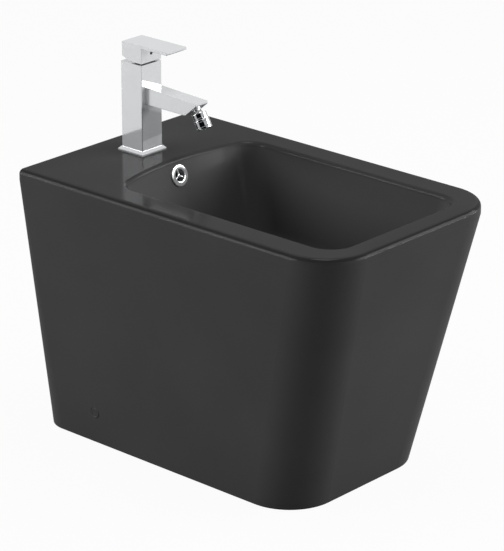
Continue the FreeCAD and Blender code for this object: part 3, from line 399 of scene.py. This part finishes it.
def bar(name, x, y, z, edge):
    """A straight bar between three pairs of limits, with its edges softened."""
    alone()
    middle = Vector([(low + high) / 2 for low, high in (x, y, z)]) * MM
    bpy.ops.mesh.primitive_cube_add(size=MM, location=middle)
    piece = bpy.context.object
    piece.name = name
    piece.scale = [high - low for low, high in (x, y, z)]
    settle(piece)
    choose(piece, "EDGE", lambda a, b: True)
    bpy.ops.mesh.bevel(offset=edge * MM, segments=2)
    close()
    return piece


def nut(name, flat, low, high, bore, edge):
    """A prism of equal sides round a bore, with softened corners and a raised end face."""
    alone()
    bpy.ops.mesh.primitive_cylinder_add(
        vertices=NUT_SIDES,
        radius=flat / math.cos(math.pi / NUT_SIDES) * MM,
        depth=(high - low) * MM,
        location=(0, 0, (low + high) / 2 * MM),
    )
    piece = bpy.context.object
    piece.name = name
    piece.rotation_euler.z = math.pi / NUT_SIDES
    settle(piece)
    choose(piece, "EDGE", lambda a, b: abs(a.z - b.z) > edge)
    bpy.ops.mesh.bevel(offset=2 * edge * MM, segments=3)
    close()
    for end, side in ((low, -1), (high, 1)):
        choose(piece, "FACE", lambda middle, normal: near(middle.z, end) and normal.z * side > SQUARE_ON)
        bpy.ops.mesh.inset(thickness=edge * MM)
        close()
        choose(piece, "EDGE", lambda a, b: on_outline(a, b, end, flat - edge / 2))
        bpy.ops.transform.translate(value=(0, 0, -side * edge * MM / 2))
        close()
    shape_with(piece, drill("hole", bore, low, high, NARROW_TURN), "DIFFERENCE")
    return piece


def on_outline(a, b, height, radius):
    level = near(a.z, height) and near(b.z, height)
    return level and min(a.xy.length, b.xy.length) > radius


def stand(piece, foot, axis=(0, 0, 1)):
    """Sets a piece that was made upright at the origin where the part has it."""
    piece.rotation_mode = "QUATERNION"
    piece.rotation_quaternion = Vector((0, 0, 1)).rotation_difference(Vector(axis))
    piece.location = Vector(foot) * MM
    settle(piece)


def finish_piece(piece, slot, body, node, look=None):
    alone(piece)
    bpy.ops.object.shade_smooth_by_angle(angle=SMOOTH_ANGLE)
    piece.data.materials.clear()
    piece.data.materials.append(FINISHES[look or slot])
    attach(piece, body)
    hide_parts(node)


# Finishes

class Field:
    """A number or a colour that a finish works out over its surface."""

    def __init__(self, board, socket):
        self.board = board
        self.socket = socket

    def combine(self, operation, first, second):
        return self.board.node("ShaderNodeMath", {"operation": operation}, {0: first, 1: second})

    def __add__(self, other):
        return self.combine("ADD", self, other)

    def __radd__(self, other):
        return self.combine("ADD", other, self)

    def __sub__(self, other):
        return self.combine("SUBTRACT", self, other)

    def __rsub__(self, other):
        return self.combine("SUBTRACT", other, self)

    def __mul__(self, other):
        return self.combine("MULTIPLY", self, other)

    def __rmul__(self, other):
        return self.combine("MULTIPLY", other, self)


class Board:
    """The nodes of a finish or of the sky."""

    def __init__(self, tree, end):
        self.tree = tree
        tree.nodes.clear()
        self.end = tree.nodes.new(end)

    def node(self, kind, settings, inputs, output=0):
        made = self.tree.nodes.new(kind)
        for name, value in settings.items():
            if name == "stops":
                self.set_stops(made.color_ramp, value)
            else:
                setattr(made, name, value)
        for key, value in inputs.items():
            if isinstance(value, Field):
                self.tree.links.new(value.socket, made.inputs[key])
            else:
                made.inputs[key].default_value = value
        return Field(self, made.outputs[output])

    def set_stops(self, ramp, stops):
        while len(ramp.elements) < len(stops):
            ramp.elements.new(1)
        for element, (position, level) in zip(ramp.elements, stops):
            element.position = position
            element.color = (level, level, level, 1)

    def show(self, surface):
        self.tree.links.new(surface.socket, self.end.inputs["Surface"])

    def background_rays(self):
        """One for the rays that see or mirror the stage, nought for those that light the object."""
        first, *others = [self.node("ShaderNodeLightPath", {}, {}, "Is " + ray) for ray in BACKGROUND_RAYS]
        return sum(others, first)


class Paint(Board):
    """One finish: a shader, and the nodes that vary it."""

    def __init__(self, name, **constants):
        self.material = bpy.data.materials.new(name)
        self.material.use_nodes = True
        super().__init__(self.material.node_tree, "ShaderNodeOutputMaterial")
        self.shader = self.tree.nodes.new("ShaderNodeBsdfPrincipled")
        for socket, value in constants.items():
            self.shader.inputs[socket.replace("_", " ")].default_value = value
        self.matter = Field(self, self.shader.outputs[0])
        self.show(self.matter)

    def vary(self, socket, field):
        self.tree.links.new(field.socket, self.shader.inputs[socket])

    def place(self):
        return self.node("ShaderNodeTexCoord", {}, {}, "Object")

    def height_of(self, vector):
        return self.node("ShaderNodeSeparateXYZ", {}, {"Vector": vector}, "Z")

    def noise(self, scale, detail=2.0, stretch=(1, 1, 1)):
        where = self.node("ShaderNodeMapping", {}, {"Vector": self.place(), "Scale": stretch})
        return self.node("ShaderNodeTexNoise", {}, {"Vector": where, "Scale": scale, "Detail": detail})

    def ramp(self, field, *stops):
        return self.node("ShaderNodeValToRGB", {"stops": stops}, {"Fac": field})

    def blend(self, share, first, second):
        """The first colour where the share is nought, the second where it is one."""
        ends = [end if isinstance(end, Field) else (*end, 1) for end in (first, second)]
        sockets = {0: share, 6: ends[0], 7: ends[1]}
        return self.node("ShaderNodeMix", {"data_type": "RGBA"}, sockets, 2)

    def vector(self, operation, first, second, output=0):
        return self.node("ShaderNodeVectorMath", {"operation": operation}, {0: first, 1: second}, output)

    def relief(self, height, depth):
        sockets = {"Height": height, "Distance": depth, "Strength": 1}
        self.vary("Normal", self.node("ShaderNodeBump", {}, sockets))


def facing_bowl(paint, facing):
    """One where the glaze faces the bowl's middle, nought where it faces away."""
    spot = paint.vector("SUBTRACT", paint.place(), BOWL_MIDDLE)
    spot = paint.vector("MULTIPLY", spot, (1, 1, 0.5))
    turned = paint.vector("DOT_PRODUCT", facing, spot, "Value")
    return paint.ramp(turned + 0.5, (0.48, 1), (0.51, 0))


def painted_bowl_light_heights(paint):
    """One from the bowl's floor to its rim, nought below and above."""
    stops = [(level / BOWL_LIGHT_REACH, share) for level, share in zip(BOWL_LIGHT_LEVELS, (0, 1, 1, 0))]
    return paint.ramp(paint.height_of(paint.place()) * (1 / BOWL_LIGHT_REACH), *stops)


def black_glaze():
    paint = Paint("black_glaze", Specular_IOR_Level=0.0, Coat_IOR=1.5, Coat_Roughness=0.14)
    cloud = paint.noise(7, 4)
    pores = paint.noise(900)
    flow = paint.noise(26)
    facing = paint.node("ShaderNodeNewGeometry", {}, {}, "Normal")
    inward = facing_bowl(paint, facing)
    # Painted shade: a darker glaze colour on rounded outer edges, where the normal turns between upright and
    # level, stands in for the dark band of shade along the rim. Edges that face the bowl's middle are left out.
    edges = paint.ramp(paint.height_of(facing), (0.38, 0), (0.54, 1), (0.82, 1), (0.95, 0))
    body = paint.blend(cloud, (0.033, 0.033, 0.034), (0.041, 0.041, 0.042))
    painted_edge_shade = paint.blend(cloud, (0.015, 0.015, 0.016), (0.020, 0.020, 0.021))
    # Painted light: a lighter glaze colour on the bowl's inside, from its floor to its rim where the glaze faces
    # the bowl's middle, stands in for light that reaches into the bowl.
    painted_bowl_light = paint.blend(cloud, (0.068, 0.068, 0.069), (0.080, 0.080, 0.081))
    outside = paint.blend(edges * (1 - inward), body, painted_edge_shade)
    paint.vary("Base Color", paint.blend(painted_bowl_light_heights(paint) * inward, outside, painted_bowl_light))
    paint.vary("Roughness", 0.35 + cloud * 0.08 + pores * 0.05)
    paint.vary("Coat Weight", 0.085 + cloud * 0.05)
    paint.relief(flow * 0.35 + pores * 0.03, 0.0005)
    return paint.material


def chrome(name, metallic, dark, light):
    paint = Paint(name, Metallic=metallic)
    smear = paint.noise(40, 5)
    spots = paint.noise(160, 4)
    grain = paint.noise(700)
    paint.vary("Base Color", paint.blend(smear, dark, light))
    paint.vary("Roughness", 0.06 + paint.ramp(spots, (0.4, 0), (0.8, 1)) * 0.03)
    paint.relief(grain, 0.00001)
    return paint.material


def metal(name, dark, light, rough):
    paint = Paint(name, Metallic=1.0)
    stain = paint.noise(60, 4)
    turned = paint.noise(1500, stretch=(0.04, 0.04, 1))
    paint.vary("Base Color", paint.blend(stain, dark, light))
    paint.vary("Roughness", rough + turned * 0.15)
    paint.relief(turned, 0.00004)
    return paint.material


def plastic(name, dark, light, rough):
    paint = Paint(name, Specular_IOR_Level=0.2)
    cloud = paint.noise(30, 3)
    grain = paint.noise(1800)
    paint.vary("Base Color", paint.blend(cloud, dark, light))
    paint.vary("Roughness", rough + cloud * 0.08)
    paint.relief(grain, 0.00003)
    return paint.material


def rubber():
    paint = Paint("rubber")
    dust = paint.noise(120, 5)
    grain = paint.noise(2500)
    paint.vary("Base Color", paint.blend(dust, (0.018, 0.018, 0.018), (0.045, 0.044, 0.043)))
    paint.vary("Roughness", 0.62 + dust * 0.2)
    paint.relief(grain, 0.00005)
    return paint.material


FINISHES = {
    "glaze": black_glaze(),
    "chrome": chrome("chrome", 1.0, (0.62, 0.63, 0.64), (0.76, 0.77, 0.78)),
    # A copy of the same chrome with less metal and a grey diffuse share: painted shade on its bright mirrored
    # faces and painted light in its dark ones.
    "chrome_painted_even": chrome("chrome_painted_even", 0.6, (0.58, 0.59, 0.60), (0.63, 0.64, 0.65)),
    # A darker copy of the same chrome for the nozzle, which paints shade over its bright mirrored patches.
    "chrome_painted_dark": chrome("chrome_painted_dark", 1.0, (0.34, 0.35, 0.36), (0.44, 0.45, 0.46)),
    "brass": metal("brass", (0.55, 0.38, 0.16), (0.72, 0.55, 0.28), 0.24),
    "steel": metal("steel", (0.42, 0.43, 0.44), (0.60, 0.61, 0.62), 0.30),
    "black_plastic": plastic("black_plastic", (0.006, 0.006, 0.007), (0.011, 0.011, 0.012), 0.42),
    "white_plastic": plastic("white_plastic", (0.72, 0.72, 0.70), (0.80, 0.80, 0.78), 0.40),
    "rubber": rubber(),
}
# The nodes that get the chrome copy with painted light and shade.
PAINTED_EVEN_NODES = ("tap_body", "tap_base_plate", "lever_handle")


def finish_nodes():
    slots = {entry["node"]: entry["material_slot"] for entry in frame["record"]["subparts"]}
    for name, piece in frame["nodes"].items():
        for slot in piece.material_slots:
            slot.material = FINISHES["chrome_painted_even" if name in PAINTED_EVEN_NODES else slots[name]]


# The pieces that get more form than the part's solids have

def overflow_cover():
    cover = section("overflow_cover", OVERFLOW_BORE, OVERFLOW_TAIL, OVERFLOW_TAIL_END, SEAT_GAP)
    lengthen(cover, SEAT_GAP, OVERFLOW_FACE)
    step(cover, OVERFLOW_TAIL, SEAT_GAP, OVERFLOW_FACE, OVERFLOW_FLANGE)
    soften(cover, OVERFLOW_FLANGE, OVERFLOW_FACE, OVERFLOW_OUTER_ROUND, steps=4)
    soften(cover, OVERFLOW_BORE, OVERFLOW_FACE, OVERFLOW_INNER_ROUND, steps=4)
    soften(cover, OVERFLOW_BORE, OVERFLOW_TAIL_END, OVERFLOW_TAIL_ROUND)
    turn(cover)
    shape_with(cover, overflow_spider(), "UNION")
    stand(cover, OVERFLOW_HOLE + OVERFLOW_AXIS * OVERFLOW_STAND_OFF, OVERFLOW_AXIS)
    # The cover gets the chrome copy with painted light and shade.
    finish_piece(cover, "chrome", "fixed", "overflow_ring", look="chrome_painted_even")


def overflow_spider():
    hub = section("hub", 0, HUB_EDGE, WEB_FOOT, 0)
    soften(hub, HUB_EDGE, 0, HUB_ROUND, steps=4)
    turn(hub, THIN_TURN)
    width = (-WEB_HALF_WIDTH, WEB_HALF_WIDTH)
    for index in range(WEB_COUNT):
        web = bar("web", width, (WEB_START, WEB_END), (WEB_FOOT, WEB_TOP), WEB_ROUND)
        web.rotation_euler.z = index * 2 * math.pi / WEB_COUNT
        settle(web)
        shape_with(hub, web, "UNION")
    return hub


def nozzle_sleeve():
    sleeve = section("nozzle_sleeve", COLLAR_BORE, COLLAR_EDGE, COLLAR_LEDGE, COLLAR_TOP)
    lengthen(sleeve, COLLAR_LEDGE, COLLAR_FOOT)
    step(sleeve, COLLAR_BORE, COLLAR_FOOT, COLLAR_LEDGE, COLLAR_MOUTH)
    soften(sleeve, COLLAR_EDGE, COLLAR_FOOT, COLLAR_FOOT_ROUND, steps=4)
    soften(sleeve, COLLAR_MOUTH, COLLAR_FOOT, COLLAR_SMALL_ROUND)
    soften(sleeve, COLLAR_EDGE, COLLAR_TOP, COLLAR_SMALL_ROUND)
    groove(sleeve, COLLAR_EDGE, COLLAR_GROOVE, GROOVE_WIDTH, COLLAR_GROOVE_DEPTH)
    turn(sleeve)
    stand(sleeve, BALL, NOZZLE_AXIS)
    finish_piece(sleeve, "chrome", "spin", "nozzle_collar", look="chrome_painted_dark")


def nozzle_tip():
    tip = section("nozzle_tip", TIP_BORE, TIP_SCREW, TIP_SCREW_START, TIP_SHOULDER)
    lengthen(tip, TIP_SHOULDER, TIP_END)
    step(tip, TIP_SCREW, TIP_SHOULDER, TIP_END, TIP_EDGE)
    soften(tip, TIP_EDGE, TIP_SHOULDER, TIP_SHOULDER_ROUND, steps=4)
    soften(tip, TIP_EDGE, TIP_END, TIP_END_ROUND, steps=4)
    soften(tip, TIP_BORE, TIP_END, TIP_BORE_ROUND)
    for height in TIP_GROOVES:
        groove(tip, TIP_EDGE, height, GROOVE_WIDTH, TIP_GROOVE_DEPTH)
    turn(tip)
    stand(tip, BALL, NOZZLE_AXIS)
    finish_piece(tip, "chrome", "spin", "aerator_housing", look="chrome_painted_dark")


def push_plug():
    foot, crown = PLUG_LOW.z, PLUG_HIGH.z
    underside = crown - PLUG_THICK
    plug = section("push_plug", 0, PLUG_STEM, foot, underside)
    lengthen(plug, underside, crown)
    step(plug, PLUG_STEM, underside, crown, PLUG_EDGE)
    soften(plug, PLUG_EDGE, crown, PLUG_CROWN_ROUND, steps=6)
    soften(plug, PLUG_EDGE, underside, PLUG_UNDER_ROUND)
    soften(plug, PLUG_STEM, foot, PLUG_STEM_ROUND)
    turn(plug, WIDE_TURN)
    stand(plug, DRAIN)
    finish_piece(plug, "chrome", "plug", "waste_plug")


def waste_fitting():
    foot, top = WASTE_LOW.z, WASTE_HIGH.z
    shoulder = top - WASTE_FLANGE_THICK
    fitting = section("waste_fitting", WASTE_BORE, WASTE_TUBE, foot, shoulder)
    lengthen(fitting, shoulder, top)
    step(fitting, WASTE_TUBE, shoulder, top, WASTE_FLANGE)
    soften(fitting, WASTE_FLANGE, top, WASTE_ROUND, steps=5)
    soften(fitting, WASTE_BORE, top, WASTE_ROUND, steps=5)
    thread(fitting, WASTE_TUBE, WASTE_RIDGES, WASTE_RIDGE_DEPTH, WASTE_THREAD_TOP)
    turn(fitting, WIDE_TURN)
    for index in range(SLOT_COUNT // 2):
        slot = waste_slot_pair()
        slot.rotation_euler.z = index * 2 * math.pi / SLOT_COUNT
        settle(slot)
        shape_with(fitting, slot, "DIFFERENCE")
    shape_with(fitting, plug_guide(), "UNION")
    stand(fitting, DRAIN)
    finish_piece(fitting, "chrome", "fixed", "waste_body")


def waste_slot_pair():
    """A tool that cuts two facing overflow slots at once."""
    width = (-SLOT_HALF_WIDTH, SLOT_HALF_WIDTH)
    height = (SLOT_FOOT, SLOT_FOOT + SLOT_HEIGHT)
    return bar("slot", (-SLOT_REACH, SLOT_REACH), width, height, SLOT_ROUND)


def plug_guide():
    """The bar across the waste's tube, with the hole in which the plug's stem slides."""
    width = (-GUIDE_HALF_WIDTH, GUIDE_HALF_WIDTH)
    guide = bar("guide", (-GUIDE_REACH, GUIDE_REACH), width, (GUIDE_FOOT, GUIDE_TOP), GUIDE_ROUND)
    hole = drill("hole", PLUG_STEM + PLUG_STEM_GAP, GUIDE_FOOT, GUIDE_TOP, HOLE_TURN)
    shape_with(guide, hole, "DIFFERENCE")
    return guide


def locknut():
    bore = WASTE_TUBE + SEAT_GAP
    piece = nut("waste_locknut", LOCKNUT_HIGH.x, LOCKNUT_LOW.z, LOCKNUT_HIGH.z, bore, LOCKNUT_ROUND)
    stand(piece, DRAIN)
    finish_piece(piece, "brass", "fixed", "waste_back_nut")


def trap():
    bottle = trap_shell()
    neck = turn(section("neck", NECK_BORE, NECK_EDGE, TRAP_LOW.z, NECK_TOP), NARROW_TURN)
    shape_with(bottle, neck, "UNION")
    shape_with(bottle, trap_top_nut(), "UNION")
    shape_with(bottle, trap_branch(), "UNION")
    bottle.rotation_euler.z = TRAP_TURN
    settle(bottle)
    stand(bottle, DRAIN)
    finish_piece(bottle, "chrome", "fixed", "trap_body")


def trap_shell():
    ceiling = TRAP_TOP - TRAP_WALL
    wall = TRAP_EDGE - TRAP_WALL
    shell = section("trap_bottle", wall, TRAP_EDGE, TRAP_FOOT, ceiling)
    lengthen(shell, ceiling, TRAP_TOP)
    step(shell, wall, ceiling, TRAP_TOP, TRAP_ROOF_BORE)
    soften(shell, TRAP_EDGE, TRAP_TOP, TRAP_ROUND, steps=6)
    return turn(shell, WIDE_TURN)


def trap_top_nut():
    """The nut under the waste, with the seat in which the waste's tube stands."""
    top = TRAP_HIGH.z
    piece = nut("top_nut", TRAP_NUT_FLAT, top - TRAP_NUT_HEIGHT, top, NECK_EDGE - NECK_GRIP, TRAP_NUT_ROUND)
    seat = turn(section("seat", 0, WASTE_TUBE + SEAT_GAP, NECK_TOP, top + OVERRUN), NARROW_TURN)
    shape_with(piece, seat, "DIFFERENCE")
    return piece


def trap_branch():
    """The branch for the outlet pipe, made upright and then laid towards the wall."""
    branch = turn(section("branch", BRANCH_BORE, BRANCH_EDGE, BRANCH_START, BRANCH_END), NARROW_TURN)
    nut_end = BRANCH_NUT_START + TRAP_NUT_HEIGHT
    clamp = nut("branch_nut", TRAP_NUT_FLAT, BRANCH_NUT_START, nut_end, BRANCH_BORE, TRAP_NUT_ROUND)
    shape_with(branch, clamp, "UNION")
    branch.rotation_euler.x = -math.pi / 2
    branch.location.z = BRANCH_LEVEL * MM
    settle(branch)
    return branch


def trap_cup_with_grip():
    foot, lip = CUP_LOW.z, CUP_HIGH.z
    floor = foot + CUP_WALL
    cup = section("trap_cup_grip", 0, CUP_EDGE, foot, floor)
    lengthen(cup, floor, lip)
    choose(cup, "EDGE", lambda a, b: along(a, b, 0) and (a.z + b.z) / 2 > floor)
    bpy.ops.transform.translate(value=((CUP_EDGE - CUP_WALL) * MM, 0, 0))
    close()
    soften(cup, CUP_EDGE, foot, CUP_FOOT_ROUND, steps=5)
    soften(cup, CUP_EDGE, lip, CUP_LIP_ROUND)
    turn(cup, WIDE_TURN)
    choose(cup, "FACE", in_grip)
    bpy.ops.mesh.inset(thickness=GRIP_MARGIN * MM, depth=-GRIP_DEPTH * MM)
    close()
    stand(cup, DRAIN)
    finish_piece(cup, "chrome", "fixed", "trap_cup")


def in_grip(middle, normal):
    """Whether a face lies in one of the cup's sunk grips, which leave every third strip standing."""
    outward = middle.xy.dot(normal.xy) > CUP_EDGE - CUP_WALL
    upright = abs(normal.z) < 1 - SQUARE_ON
    strip = math.floor(math.atan2(middle.y, middle.x) / (2 * math.pi) * WIDE_TURN)
    return outward and upright and strip % GRIP_SPACING != 0 and middle.z > GRIP_FOOT


def threaded_stud():
    foot, top = STUD_LOW.z, STUD_HIGH.z
    stud = section("threaded_stud", 0, STUD_CREST, foot, top)
    for end in (foot, top):
        soften(stud, STUD_CREST, end, STUD_ROUND)
    thread(stud, STUD_CREST, STUD_RIDGES, STUD_RIDGE_DEPTH, top - OVERRUN)
    turn(stud, THIN_TURN)
    stand(stud, (0, (STUD_LOW.y + STUD_HIGH.y) / 2, 0))
    finish_piece(stud, "steel", "fixed", "fixing_stud")


def side_caps():
    cap = section("side_cap", 0, CAP_EDGE, 0, CAP_THICK)
    soften(cap, CAP_EDGE, CAP_THICK, CAP_ROUND, steps=4)
    turn(cap, NARROW_TURN)
    level = CAP_EDGE - CAP_ROUND
    choose(cap, "FACE", lambda middle, normal: normal.z > SQUARE_ON and middle.xy.length < level)
    bpy.ops.mesh.inset(thickness=CAP_RIM * MM)
    bpy.ops.mesh.inset(thickness=CAP_LINE_WIDTH * MM, depth=-CAP_LINE_DEPTH * MM)
    close()
    twin = cap.copy()
    twin.data = cap.data.copy()
    bpy.context.scene.collection.objects.link(twin)
    y, z = (CAP_LOW.y + CAP_HIGH.y) / 2, (CAP_LOW.z + CAP_HIGH.z) / 2
    stand(cap, (-CAP_SEAT, y, z), (-1, 0, 0))
    stand(twin, (CAP_SEAT, y, z), (1, 0, 0))
    alone(cap)
    twin.select_set(True)
    bpy.ops.object.join()
    finish_piece(cap, "black_plastic", "fixed", "fixing_caps")


# Stage

def towards(azimuth, elevation):
    """The direction from the object to a viewer at that azimuth and elevation, in degrees."""
    around, rise = math.radians(azimuth), math.radians(elevation)
    level = math.cos(rise)
    return Vector((math.sin(around) * level, -math.cos(around) * level, math.sin(rise)))


def aim(thing, place, back):
    """Sets a lamp or the camera at a place, looking against a direction."""
    bpy.context.collection.objects.link(thing)
    thing.location = place
    thing.rotation_mode = "QUATERNION"
    thing.rotation_quaternion = (-back).to_track_quat("-Z", "Y")


def floor_finish():
    paint = Paint("pale_floor", Roughness=0.9)
    tint = paint.noise(3, 3)
    paint.vary("Base Color", paint.blend(tint, (0.48, 0.48, 0.48), (0.52, 0.52, 0.52)))
    glow = paint.node("ShaderNodeEmission", {}, {"Color": (1, 1, 1, 1)})
    share = paint.background_rays() * FLOOR_LIFT
    paint.show(paint.node("ShaderNodeMixShader", {}, {0: share, 1: paint.matter, 2: glow}))
    return paint.material


def pale_floor():
    alone()
    bpy.ops.mesh.primitive_circle_add(vertices=WIDE_TURN, radius=FLOOR_REACH, fill_type="NGON")
    floor = bpy.context.object
    floor.name = "pale_floor"
    floor.data.materials.append(floor_finish())


def cloth_finish():
    paint = Paint("black_cloth", Specular_IOR_Level=0.0)
    weave = paint.noise(200, 3)
    paint.vary("Base Color", paint.blend(weave, (0.01, 0.01, 0.01), (0.02, 0.02, 0.02)))
    paint.vary("Roughness", 0.8 + weave * 0.15)
    return paint.material


def dark_card():
    """A black cloth behind the camera, which the glaze and the polished chrome mirror."""
    alone()
    place = towards(CARD_AZIMUTH, 0) * CARD_DISTANCE
    place.z = CARD_HEIGHT / 2
    across = (math.pi / 2, 0, math.radians(CARD_AZIMUTH))
    bpy.ops.mesh.primitive_plane_add(size=1, location=place, rotation=across)
    card = bpy.context.object
    card.name = "dark_card"
    card.scale = (CARD_WIDTH, CARD_HEIGHT, 1)
    settle(card)
    card.data.materials.append(cloth_finish())
    card.visible_camera = False


def sky():
    world = bpy.data.worlds.new("studio")
    bpy.context.scene.world = world
    world.use_nodes = True
    board = Board(world.node_tree, "ShaderNodeOutputWorld")
    sockets = {"Value": board.background_rays(), "To Min": SKY_ON_OBJECT}
    level = board.node("ShaderNodeMapRange", {}, sockets)
    board.show(board.node("ShaderNodeBackground", {}, {"Color": (1, 1, 1, 1), "Strength": level}))


def softbox(name, azimuth, lift, distance, width, height, power):
    light = bpy.data.lights.new(name, "AREA")
    light.shape = "RECTANGLE"
    light.size = width
    light.size_y = height
    light.energy = power
    lamp = bpy.data.objects.new(name, light)
    back = towards(azimuth, lift)
    aim(lamp, LAMP_AIM + back * distance, back)
    lamp.visible_camera = False


def studio():
    softbox("left_softbox", azimuth=-130, lift=20, distance=3.2, width=2.2, height=1.2, power=66)
    softbox("right_softbox", azimuth=46, lift=20, distance=3.2, width=2.8, height=1.2, power=106)
    softbox("left_strip", azimuth=-134, lift=1, distance=3.0, width=2.2, height=0.08, power=34)
    softbox("right_strip", azimuth=50, lift=1, distance=3.0, width=2.2, height=0.08, power=38)
    softbox("top_softbox", azimuth=0, lift=88, distance=2.4, width=0.9, height=0.9, power=22)


def camera():
    view = bpy.data.cameras.new("photo_view")
    view.lens = VIEW_LENS
    view.sensor_width = SENSOR
    view.clip_end = FAR_CLIP
    eye = bpy.data.objects.new("photo_view", view)
    back = towards(VIEW_AZIMUTH, VIEW_ELEVATION)
    aim(eye, VIEW_TARGET + back * VIEW_DISTANCE, back)
    bpy.context.scene.camera = eye


camera()
finish_nodes()
for make in (
    overflow_cover,
    nozzle_sleeve,
    nozzle_tip,
    push_plug,
    waste_fitting,
    locknut,
    trap,
    trap_cup_with_grip,
    threaded_stud,
    side_caps,
):
    make()
pale_floor()
dark_card()
sky()
studio()
bpy.context.scene.view_settings.view_transform = "Standard"
